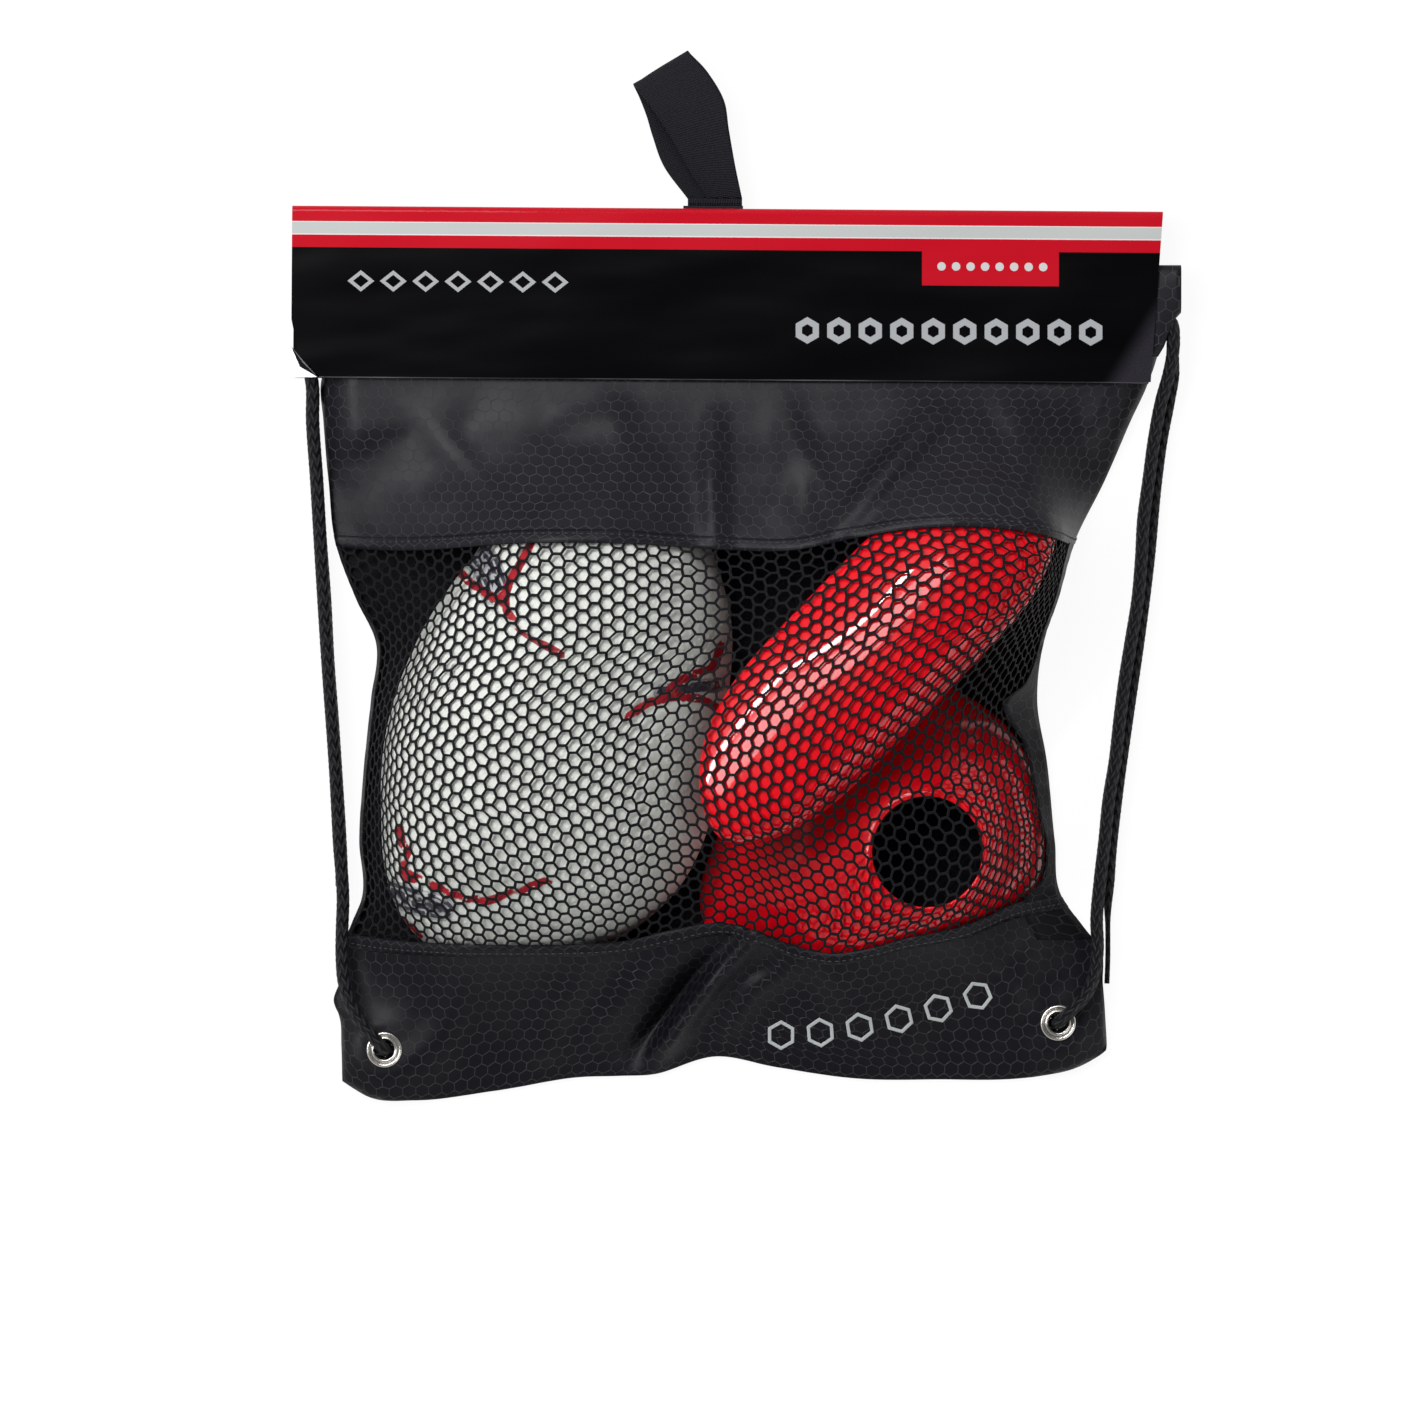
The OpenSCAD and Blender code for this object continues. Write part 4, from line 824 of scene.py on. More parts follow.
def ball_finish():
    """Off-white pimpled rubber with red and dark flashes and fine grooves between panels, with
    painted shade between the pimples and along the creases.
    """
    look = bpy.context.scene.netball_ball
    finish = Finish("Pimpled rubber", Specular_IOR_Level=0.3)
    place = finish.place()
    u, v, _ = finish.split(finish.place("UV"))
    thirds = abs((u * 1.5 + 0.5) % 1.0 - 0.5)
    groove = 1 - thirds.step(0.0, 0.022) * abs(abs(v) - 1.0).step(0.0, 0.02)
    wide = finish.cloud(place, 18.0, 3.0)
    grime = finish.cloud(place, 120.0, 4.0)
    pimple = finish.node(
        "ShaderNodeTexVoronoi", {"feature": "F1"}, {"Vector": place, "Scale": 520.0},
        output="Distance",
    )
    bead = 1 - pimple.step(0.1, 0.55)
    marks = {name: finish.attribute(name) for name in FLASHES}
    dark = 1 - marks["dark_patches"].step(-0.0006, 0.0006)
    stripes = (marks["dark_patches"] / look.stripe_pitch % 1.0).step(0.62, 0.7)
    red = 1 - marks["red_lines"].step(look.line_w / 2 - 0.0002, look.line_w / 2 + 0.0002)
    frayed = finish.cloud(place, 260.0, 3.0).step(0.3, 0.36)
    rubbed = finish.cloud(place, 170.0, 3.0).step(0.36, 0.5)
    crease = 1 - marks["creases"].step(0.0002, 0.0011)
    base = finish.mix(wide, look.cover_shade, look.cover_light)
    for share, tint in (
        # Painted shade between the pimples
        ((1 - bead) * 0.12, (0.30, 0.31, 0.28)),
        (dark * rubbed, (0.035, 0.035, 0.05)),
        (dark * stripes, (0.34, 0.35, 0.37)),
        (red * frayed, look.flash_red),
        (groove * 0.12, (0.14, 0.14, 0.13)),
        # Painted shade along the creases of the slack cover
        (crease * 0.8, (0.03, 0.03, 0.04)),
    ):
        base = finish.mix(share, base, tint)
    height = bead * 0.5 - groove * 0.6 - crease * 2.0 + wide * 2.0
    return finish.surface(base, 0.5 + 0.15 * (grime - 0.5), height, 0.0005)


def plain_finish(name, dark, light, roughness, scale=400.0):
    """An even material with a little grain, for ink, thread and the pieces inside."""
    finish = Finish(name)
    grain = finish.cloud(finish.place(), scale, 3.0)
    rough = roughness + 0.1 * (grain - 0.5)
    return finish.surface(finish.mix(grain, dark, light), rough, grain, 0.0002, 0.8)


def dress_node(name, material):
    """Gives a node of the frame its finish."""
    node = CAD_NODES[name]
    node.data.materials.clear()
    node.data.materials.append(material)


# Shapes of the contents


def ball_plan_r(degrees):
    return BALL_D * ring_value(BALL_PLAN_SHARES, degrees % 360)


def folded_ball(direction):
    """Where a direction of the round ball comes to lie once one half is pushed into the other."""
    half = BALL_FOLD / 2
    middle = BALL_LOW + half
    dome_h = BALL_H - middle
    degrees = math.degrees(math.atan2(direction.y, direction.x))
    theta = math.degrees(math.acos(max(-1, min(1, direction.z))))
    plan_r = ball_plan_r(degrees)
    if LIP_FROM <= theta <= LIP_TO:
        lip = math.radians(180 * (theta - LIP_FROM) / (LIP_TO - LIP_FROM))
        r = plan_r - half + half * math.cos(lip)
        z = -half * math.sin(lip)
    else:
        outside = theta < LIP_FROM
        depth = 0 if outside else BALL_FOLD
        share = theta / LIP_FROM if outside else (180 - theta) / (180 - LIP_TO)
        tilt = math.radians(90 * share)
        r = (plan_r - depth) * math.sin(tilt) ** (2 / BALL_ROUNDING)
        z = (dome_h - depth) * max(0, math.cos(tilt)) ** (2 / BALL_ROUNDING)
    turn = math.radians(degrees)
    x, y = BALL_PLACE
    return Vector((x + r * math.cos(turn), y + r * math.sin(turn), middle + z))


def dished_point(degrees, level):
    """A point of the cone that stands: level 0 at its hole, 1 at its rim."""
    rim_r = CONE_RIM_R * ring_value(RIM_PLAN_SHARES, degrees % 360)
    turn = math.radians(degrees)
    x, y = (between(*ends, level) for ends in zip(DISHED_HOLE_PLACE, DISHED_RIM_PLACE))
    r = between(CONE_HOLE_R, rim_r, level)
    fall = (level**1.25 + level) / 2
    z = CONE_LOW + CONE_RIM_H + (CONE_H - CONE_RIM_H) * (1 - fall)
    return Vector((x + r * math.cos(turn), y + r * math.sin(turn), z))


def folded_point(s, a):
    """A point of the folded cone: s along its fold from -1 to 1, a around it from -1 to 1."""
    blunt = FOLDED_BLUNT[s > 0]
    w = FOLDED_HALF_W * max(0, 1 - abs(s) ** blunt) ** (1 / blunt)
    r = FOLDED_SHARE * w
    q = min(1, abs(a) / FOLD_QUARTER)
    run = max(0, abs(a) - FOLD_QUARTER) / (1 - FOLD_QUARTER)
    side = -1 if a < 0 else 1
    reach = FOLDED_REACH * w if a < 0 else 2 * w - r
    droop = 0 if a < 0 else FOLDED_DROOP[s >= 0] * w * run**2.2
    across = -w + r - r * math.cos(math.pi / 2 * q) + reach * run
    z = side * r * math.sin(math.pi / 2 * q) - droop
    fall = 0.3 * s * s if s > 0 else 0.05 * (-s) ** 3
    turn = math.radians(FOLDED_TURN)
    along = s * FOLDED_HALF_L
    return Vector(
        (
            FOLDED_PLACE[0] + along * math.cos(turn) - across * math.sin(turn),
            FOLDED_PLACE[1] + along * math.sin(turn) + across * math.cos(turn),
            FOLDED_TOP * (1 - fall) - FOLDED_SHARE * FOLDED_HALF_W + z,
        )
    )


def folded_place(degrees, level):
    """A point of the folded cone by its angle, level 0 at its hole and 1 at its rim."""
    turn = math.radians(degrees)
    c, d = math.cos(turn), math.sin(turn)
    hole = (0.22 * c, -0.5 + 0.2 * d)
    rim = (0.97 * math.copysign(math.sqrt(abs(c)), c), 0.98 * math.copysign(math.sqrt(abs(d)), d))
    return folded_point(*(between(*ends, level) for ends in zip(hole, rim)))


def ring_grid(segments, levels, place):
    """A ring of faces around a hole, its points placed by angle and level."""
    bm = grid(segments, levels)
    for vert in bm.verts:
        vert.co = place(360 * (vert.co.x + 0.5), vert.co.y + 0.5) * MM
    close_seam(bm)
    return bm


# The height of the front of the bag


def around(z):
    """The mean of the four neighbours of each point."""
    return (np.roll(z, 1, 0) + np.roll(z, -1, 0) + np.roll(z, 1, 1) + np.roll(z, -1, 1)) / 4


def lay_front():
    """Stretches the front of the bag over the contents, then raises its folds."""
    look = bpy.context.scene.netball_bag
    xs = np.arange(*FRONT_X, FRONT_PITCH)
    ys = np.arange(*FRONT_Y, FRONT_PITCH)
    gx, gy = np.meshgrid(xs, ys)
    floor = np.full(gx.shape, FRONT_LOW)
    down = Vector((0, 0, -1))
    for tree in contents.values():
        for i in range(gx.shape[0]):
            for j in range(gx.shape[1]):
                hit = tree.ray_cast(Vector((gx[i, j] * MM, gy[i, j] * MM, 0.2)), down)[0]
                if hit is not None:
                    floor[i, j] = max(floor[i, j], hit.z / MM + look.clearance / MM)
    for px, py in EYELET_PLACES:
        r = np.hypot(gx - px, gy - py)
        rise = EYELET_RISE * np.clip(1 - (r - EYELET_FLAT_R) / EYELET_SLOPE_W, 0, 1)
        floor = np.maximum(floor, FRONT_LOW + rise)
    left = LEFT_EDGE(gy)
    right = RIGHT_EDGE(gy)
    side = np.minimum(gx - left, right - gx)
    edge = np.minimum(side, gy - BOTTOM_EDGE((gx - left) / (right - left)))
    bag = edge > 0
    rim = np.clip(side / MOUTH_RIM_W, 0, 1)
    mouth = FRONT_LOW + MOUTH_RISE * ease(gy, *MOUTH_SLOPE) * np.sqrt(rim)
    floor = np.where(bag, np.maximum(floor, mouth), FRONT_LOW)
    inner = bag & (gy < MOUTH_Y)
    dome = FRONT_LOW + DOME_H * np.clip(edge / DOME_W, 0, 1)
    z = np.where(inner, np.maximum(floor, dome), floor)
    for _ in range(look.relax_steps):
        z = np.where(inner, np.maximum(floor, around(z) - look.sag), z)
    # Folds and small unevenness fade out towards the edges and the mouth
    slack = np.clip(edge / SLACK_EDGE_W, 0, 1) * np.clip((SLACK_TOP_Y - gy) / SLACK_TOP_W, 0, 1)
    for points, width, height in FOLDS:
        z = z + height * fold_shape(gx, gy, points, width) * slack
    soft = np.random.default_rng(UNEVEN_SEED).standard_normal(gx.shape)
    for _ in range(UNEVEN_STEPS):
        soft = around(soft)
    z = z + UNEVEN_H * soft / soft.std() * slack
    for _ in range(3):
        z = np.where(inner, np.maximum(floor, 0.5 * (around(z) + z)), z)
    front["z"] = z


def fold_shape(gx, gy, points, width):
    """1 along a line of points, falling to 0 beside it and towards its two ends."""
    best = np.full(gx.shape, 1e9)
    run = np.zeros(gx.shape)
    total = 0.0
    steps = [math.dist(a, b) for a, b in zip(points, points[1:])]
    for (ax, ay), (bx, by), step in zip(points, points[1:], steps):
        f = np.clip(((gx - ax) * (bx - ax) + (gy - ay) * (by - ay)) / step**2, 0, 1)
        d = np.hypot(gx - ax - f * (bx - ax), gy - ay - f * (by - ay))
        near = d < best
        best = np.where(near, d, best)
        run = np.where(near, (total + f * step) / sum(steps), run)
        total += step
    return np.exp(-((best / width) ** 2)) * np.sin(np.pi * (0.12 + 0.76 * run))


def front_height(x, y):
    """Height of the front of the bag at places in plan, millimetres."""
    z = front["z"]
    i = np.clip((y - FRONT_Y[0]) / FRONT_PITCH, 0, z.shape[0] - 1.001)
    j = np.clip((x - FRONT_X[0]) / FRONT_PITCH, 0, z.shape[1] - 1.001)
    i0, j0 = i.astype(int), j.astype(int)
    fi, fj = i - i0, j - j0
    return (z[i0, j0] * (1 - fj) + z[i0, j0 + 1] * fj) * (1 - fi) + (
        z[i0 + 1, j0] * (1 - fj) + z[i0 + 1, j0 + 1] * fj
    ) * fi


def front_surface(low, high, rows=90):
    """The front of the bag between two lines across it, from the lower to the upper one."""

    def place(u, v):
        y = between(low(u), high(u), v)
        x = between(LEFT_EDGE(y), RIGHT_EDGE(y), u)
        return x * MM, y * MM, front_height(x, y) * MM

    return Surface(place, rows)


def straight(value):
    """A line across the bag at one height."""
    return lambda u: np.full(np.shape(u), float(value))


def cut_eyelet_holes(bm):
    holes = [
        v for v in bm.verts
        if min(math.dist(v.co[:2], (x * MM, y * MM)) for x, y in EYELET_PLACES) < EYELET_HOLE_R * MM
    ]
    bmesh.ops.delete(bm, geom=holes, context="VERTS")


# Settings


def metres(name, text, value):
    return FloatProperty(name=name, description=text, default=value, unit="LENGTH")


def number(name, text, value):
    return FloatProperty(name=name, description=text, default=value)


def whole(name, text, value):
    return IntProperty(name=name, description=text, default=value)


def hue(name, text, value):
    return FloatVectorProperty(name=name, description=text, default=value, subtype="COLOR")


class BagSettings(bpy.types.PropertyGroup):
    """Cloth of the bag."""

    thickness: metres("Cloth Thickness", "Thickness of the cloth", 0.0007)
    strip: metres("Strip Thickness", "Thickness of hems, edgings and channels", 0.0006)
    clearance: metres("Clearance", "Room over the contents", 0.0016)
    sag: number("Sag", "How slack the cloth hangs, 0 where it is taut", 0.008)
    relax_steps: whole("Relax Steps", "Passes that draw the cloth tight", 1500)
    hem: metres("Hem", "Height of the sewn hem at the net", 0.0065)
    stitch_pitch: metres("Stitch Pitch", "Distance between stitches", 0.0032)
    stitch_from_edge: metres("Stitch From Edge", "Distance of the stitches from the net", 0.0042)
    ripstop_pitch: metres("Ripstop Pitch", "Width of a woven cell", 0.0061)
    weave_rate: number("Weave Rate", "Turn of the weave in radians a metre", 6200)
    motif_r: metres("Motif Radius", "Radius of a printed hexagon", 0.0068)
    motif_line: metres("Motif Line", "Width of its line", 0.0017)
    cloth_dark: hue("Cloth, Dark", "Darker colour of the cloth", (0.0040, 0.0037, 0.0062))
    cloth_light: hue("Cloth, Light", "Lighter colour of the cloth", (0.0064, 0.0060, 0.0092))
    ripstop_thread: hue("Ripstop Thread", "Colour of the thicker threads", (0.050, 0.049, 0.058))


class NetSettings(bpy.types.PropertyGroup):
    """Mesh window."""

    column_pitch: metres("Column Pitch", "Distance between columns of cells", 0.0052)
    row_pitch: metres("Row Pitch", "Distance between cells in a column", 0.0067)
    strand: metres("Strand", "Width of a strand", 0.00132)
    thickness: metres("Thickness", "Thickness of a strand", 0.00045)
    twist_rate: number("Twist Rate", "Turn of the yarn in radians a metre", 4200)
    yarn_dark: hue("Yarn, Dark", "Darker colour of the yarn", (0.0035, 0.0035, 0.0045))
    yarn_light: hue("Yarn, Light", "Lighter colour of the yarn", (0.0095, 0.0095, 0.0115))


class CordSettings(bpy.types.PropertyGroup):
    """Braided cords."""

    diameter: metres("Diameter", "Diameter of a cord", 0.006)
    tail: metres("Tail", "Diameter of the sealed tail", 0.0024)
    knot_r: metres("Knot Radius", "Radius of the cord where the knot pinches it", 0.0017)
    braid_pitch: metres("Braid Pitch", "Length of one crossing", 0.0062)
    cord_dark: hue("Cord, Dark", "Darker colour of the cord", (0.0016, 0.0016, 0.0022))
    cord_light: hue("Cord, Light", "Lighter colour of the cord", (0.028, 0.028, 0.036))


class CardSettings(bpy.types.PropertyGroup):
    """Header card and its clear film."""

    stripe_red: hue("Stripe Red", "Red of the stripes", (0.40, 0.0042, 0.0130))
    stripe_silver: hue("Stripe Silver", "Silver of the middle stripe", (0.39, 0.405, 0.40))
    border_white: hue("Border White", "White beside the silver", (0.58, 0.56, 0.56))
    film: metres("Film", "Thickness of the clear film", 0.0002)


class LoopSettings(bpy.types.PropertyGroup):
    """Hanging loop."""

    thickness: metres("Tape Thickness", "Thickness of the tape", 0.0011)
    rib_pitch: metres("Rib Pitch", "Distance between ribs", 0.0011)
    thread_pitch: metres("Thread Pitch", "Distance between threads", 0.0005)
    tape_dark: hue("Tape, Dark", "Darker colour of the tape", (0.007, 0.007, 0.0092))
    tape_light: hue("Tape, Light", "Lighter colour of the tape", (0.019, 0.0188, 0.024))


class BallSettings(bpy.types.PropertyGroup):
    """Deflated ball."""

    cuts: whole("Cuts", "Cuts across each face of the ball", 47)
    cover_light: hue("Cover, Light", "Lighter colour of the cover", (0.69, 0.71, 0.67))
    cover_shade: hue("Cover, Shade", "Darker colour of the cover", (0.57, 0.59, 0.55))
    line_w: metres("Line Width", "Width of a printed line", 0.0040)
    stripe_pitch: metres("Stripe Pitch", "Distance between printed stripes", 0.0026)
    flash_red: hue("Flash Red", "Red of the printed borders", (0.30, 0.006, 0.014))


class ConeSettings(bpy.types.PropertyGroup):
    """Soft marker cones."""

    thickness: metres("Thickness", "Thickness of the plastic", 0.0019)
    segments: whole("Segments", "Faces around a cone", 96)
    red_bright: hue("Red, Bright", "Brighter colour of the plastic", (0.72, 0.001, 0.009))
    red_deep: hue("Red, Deep", "Deeper colour of the plastic", (0.62, 0.001, 0.007))


class StageSettings(bpy.types.PropertyGroup):
    """Camera, lights and floor."""

    lens: number("Lens", "Focal length, millimetres", 200.0)
    view_w: metres("View Width", "Width of floor that the camera takes in", 0.64125)
    view_x: metres("View X", "Middle of the view", -0.0108)
    view_y: metres("View Y", "Middle of the view", -0.0621)
    floor_glow: number("Floor Glow", "Share of the floor's own light where rays see it", 0.93)
    softbox: number("Softbox", "Radiance of the softbox", 8.0)
    strip: number("Strip", "Radiance of the narrow lamp", 50.0)
    fill: number("Fill", "Radiance of the fill lamp", 1.8)
    horizon: number("Horizon", "Strength of the low light", 0.85)
    zenith: number("Zenith", "Strength of the light overhead", 0.06)


# Operators


class NETBALL_OT_stage(bpy.types.Operator):
    """Sets up the camera, the lights and the white floor."""

    bl_idname = "netball.stage"
    bl_label = "Stage"

    def execute(self, context):
        look = context.scene.netball_stage
        scene = context.scene
        scene.view_settings.view_transform = "Standard"
        lens = bpy.data.cameras.new("Camera")
        lens.lens = look.lens
        lens.clip_end = 20
        camera = bpy.data.objects.new("Camera", lens)
        height = look.view_w / lens.sensor_width * look.lens
        camera.location = (look.view_x, look.view_y, height)
        scene.collection.objects.link(camera)
        scene.camera = camera

        bm = bmesh.new()
        bmesh.ops.create_grid(bm, x_segments=1, y_segments=1, size=FLOOR_HALF)
        mesh = bpy.data.meshes.new("Floor")
        bm.to_mesh(mesh)
        bm.free()
        floor = bpy.data.objects.new("Floor", mesh)
        floor.location.z = FLOOR_Z
        scene.collection.objects.link(floor)
        mesh.materials.append(self.floor_material(look.floor_glow))

        self.light("Softbox", 137, 25.5, (2.6, 0.46), look.softbox)
        self.light("Strip", 143, 36, (2.2, 0.1), look.strip)
        self.light("Fill", -35, 50, (1.4, 1.0), look.fill)
        self.world(scene, look)
        return {"FINISHED"}

    @staticmethod
    def floor_material(share):
        """White paper, evenly lit to the rays that see it, which takes light as paper does."""
        floor = Finish("White floor", Base_Color=(0.9, 0.9, 0.9, 1), Roughness=0.9)
        camera, glossy, through = (
            floor.node("ShaderNodeLightPath", output=f"Is {ray} Ray")
            for ray in ("Camera", "Glossy", "Transmission")
        )
        paper = Field(floor, floor.shader.outputs[0])
        glow = floor.node("ShaderNodeEmission")
        seen = camera.most(glossy).most(through) * share
        mixed = floor.node("ShaderNodeMixShader", values=[seen, paper, glow])
        floor.links.new(mixed.socket, floor.nodes["Material Output"].inputs["Surface"])
        return floor.material

    @staticmethod
    def light(name, azimuth, tilt, size, radiance):
        """A rectangular lamp that faces the pack from so many degrees off the vertical."""
        lamp = bpy.data.lights.new(name, "AREA")
        lamp.shape = "RECTANGLE"
        lamp.size, lamp.size_y = size
        lamp.energy = radiance * math.pi * size[0] * size[1]
        lamp_object = bpy.data.objects.new(name, lamp)
        a, t = math.radians(azimuth), math.radians(tilt)
        away = Vector((math.cos(a) * math.sin(t), math.sin(a) * math.sin(t), math.cos(t)))
        lamp_object.location = LAMP_TARGET + LAMP_DISTANCE * away
        lamp_object.rotation_euler = (-away).to_track_quat("-Z", "Y").to_euler()
        bpy.context.scene.collection.objects.link(lamp_object)

    @staticmethod
    def world(scene, look):
        """A soft surround that is bright near the horizon and dim overhead."""
        world = bpy.data.worlds.new("Studio")
        scene.world = world
        world.use_nodes = True
        nodes = world.node_tree.nodes
        glow = nodes["Background"]
        place, split, height, plain, path, mix = (
            nodes.new("ShaderNode" + kind)
            for kind in (
                "TexCoord", "SeparateXYZ", "MapRange", "Background", "LightPath", "MixShader"
            )
        )
        height.inputs["To Min"].default_value = look.horizon
        height.inputs["To Max"].default_value = look.zenith
        glow.inputs["Color"].default_value = (1, 1, 1, 1)
        plain.inputs["Color"].default_value = (1, 1, 1, 1)
        for source, target in (
            (place.outputs["Generated"], split.inputs[0]),
            (split.outputs["Z"], height.inputs["Value"]),
            (height.outputs[0], glow.inputs["Strength"]),
            (path.outputs["Is Camera Ray"], mix.inputs[0]),
            (glow.outputs[0], mix.inputs[1]),
            (plain.outputs[0], mix.inputs[2]),
            (mix.outputs[0], nodes["World Output"].inputs["Surface"]),
        ):
            world.node_tree.links.new(source, target)


class NETBALL_OT_cords(bpy.types.Operator):
    """Models the four free runs of the cords, with their knots behind the eyelets."""

    bl_idname = "netball.cords"
    bl_label = "Cords"

    def execute(self, context):
        look = context.scene.netball_cords
        material = cord_finish()
        knots = [
            self.knot(place, name, material)
            for place, name in zip(EYELET_PLACES, ("left", "right"))
        ]
        self.run("left_cord_front", LEFT_FRONT_ROUTE, material, "knot", [knots[0]])
        self.run("left_cord_rear", LEFT_REAR_ROUTE, material, "bare")
        self.run("right_cord_front", RIGHT_FRONT_ROUTE, material, "knot", [knots[1]])
        self.run("right_cord_rear", RIGHT_REAR_ROUTE, material, "bare", tail=look.tail)
        for name in ("left_cord_in_channels", "right_cord_in_channels"):
            dress_node(name, plain_finish("Cord in channel", look.cord_dark, look.cord_light, 0.6))
        return {"FINISHED"}

    @staticmethod
    def run(node, route, material, far_end, on_it=(), tail=None):
        """One free run of a cord, which may narrow to a sealed tail."""
        look = bpy.context.scene.netball_cords
        points, length = smooth_route(route, CORD_STEP)
        half = look.diameter / 2

        def radius(share):
            return between(half, tail / 2, float(ease(share, *TAIL_SHARES))) if tail else half

        def wave(turn, run):
            rise = run / look.braid_pitch * math.pi * 2
            return 0.95 + 0.05 * math.sin(3 * turn + rise) * math.sin(3 * turn - rise)

        bm = tube(points, radius, 20, wave)
        piece = new_piece(node + "_braid", bm, material)
        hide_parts(node)

    @staticmethod
    def knot(place, name, material):
        """An overhand knot, pulled tight."""
        look = bpy.context.scene.netball_cords
        points = []
        for k in range(KNOT_STEPS + 1):
            t = 2 * math.pi * k / KNOT_STEPS
            x = place[0] + KNOT_REACH * (math.sin(t) + 2 * math.sin(2 * t))
            y = place[1] + KNOT_REACH * (math.cos(t) - 2 * math.cos(2 * t))
            z = KNOT_Z - KNOT_RISE * math.sin(3 * t)
            points.append(Vector((x, y, z)) * MM)
        bm = tube(points, look.knot_r, 12)
        piece = new_piece(name + "_knot", bm, material)
        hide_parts("cord_knots")
        return piece


class NETBALL_OT_ball(bpy.types.Operator):
    """Models the deflated ball with its pimpled cover."""

    bl_idname = "netball.ball"
    bl_label = "Ball"

    def execute(self, context):
        look = context.scene.netball_ball
        bm = bmesh.new()
        bmesh.ops.create_cube(bm, size=2.0)
        bmesh.ops.subdivide_edges(bm, edges=bm.edges, cuts=look.cuts, use_grid_fill=True)
        turn = Matrix.Identity(3)
        for degrees, axis in zip(reversed(BALL_TURN), "ZYX"):
            turn @= Matrix.Rotation(math.radians(degrees), 3, axis)
        set_uv(bm, self.flat_place)
        for vert in bm.verts:
            warped = Vector([math.tan(c * math.pi / 4) for c in vert.co])
            vert.co = folded_ball(turn @ warped.normalized()) * MM
        for vert in bm.verts:
            vert.co += self.dent(vert.co)
        bmesh.ops.recalc_face_normals(bm, faces=bm.faces)
        self.mark(bm)
        contents["ball"] = BVHTree.FromBMesh(bm)
        piece = new_piece("ball_cover", bm, ball_finish(), subdivide=True)
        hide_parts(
            "ball_panels_top", "ball_panels_bottom", "ball_panels_left",
            "ball_panels_right", "ball_panels_front", "ball_panels_back",
        )
        wound = plain_finish("Wound cloth", (0.2, 0.2, 0.19), (0.4, 0.41, 0.38), 0.8)
        dress_node("ball_lining", wound)
        black = plain_finish("Bladder rubber", (0.008, 0.008, 0.008), (0.02, 0.02, 0.02), 0.5)
        dress_node("ball_bladder", black)
        dress_node("ball_valve", black)
        return {"FINISHED"}

    @staticmethod
    def flat_place(face, vert):
        """The place on one side of the cube, along and across the three panels of that side."""
        axis = max(range(3), key=lambda k: abs(face.normal[k]))
        flat = [vert.co[k] for k in range(3) if k != axis]
        return flat[::-1] if axis == 1 else flat

    @staticmethod
    def mark(bm):
        """Keeps at each point how far it is, in metres, from each kind of print and from the
        creases whose shade is painted.
        """
        places = np.array([v.co[:2] for v in bm.verts]) / MM
        under = np.array([v.co.z < PRINT_LOW_Z for v in bm.verts])
        for name, lines in FLASHES.items():
            layer = bm.verts.layers.float.new(name)
            nearest = np.full(len(places), UNPRINTED)
            for points, half in lines:
                for a, b in zip(points, points[1:]):
                    a, run = np.array(a, float), np.array(b, float) - a
                    f = np.clip((places - a) @ run / (run @ run), 0, 1)
                    d = np.linalg.norm(places - a - f[:, None] * run, axis=1)
                    nearest = np.minimum(nearest, d - half)
            nearest[under] = UNPRINTED
            for vert, value in zip(bm.verts, nearest):
                vert[layer] = value * MM

    @staticmethod
    def dent(co):
        """Small creases of the slack cover, only on its upper side."""
        if co.z < DENT_LOW_Z:
            return Vector((0, 0, 0))
        x, y = np.array(co.x / MM), np.array(co.y / MM)
        depth = 0.0
        for points, width, height in BALL_DENTS:
            depth += height * float(fold_shape(x, y, points, width))
        fade = min(1, (co.z - DENT_LOW_Z) / DENT_FADE)
        return Vector((0, 0, depth * fade * MM))


class NETBALL_OT_cones(bpy.types.Operator):
    """Models the two soft marker cones, one folded double and one pressed out of round."""

    bl_idname = "netball.cones"
    bl_label = "Marker Cones"

    def execute(self, context):
        look = context.scene.netball_cones
        material = cone_finish()
        for name, levels, place in (("dished", 16, dished_point), ("folded", 24, folded_place)):
            bm = ring_grid(look.segments, levels, place)
            contents[name] = BVHTree.FromBMesh(bm)
            piece = new_piece(
                name + "_cone_skin", bm, material, thickness=look.thickness,
                offset=-1.0, subdivide=True,
            )
            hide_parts(name + "_marker_cone")
        return {"FINISHED"}


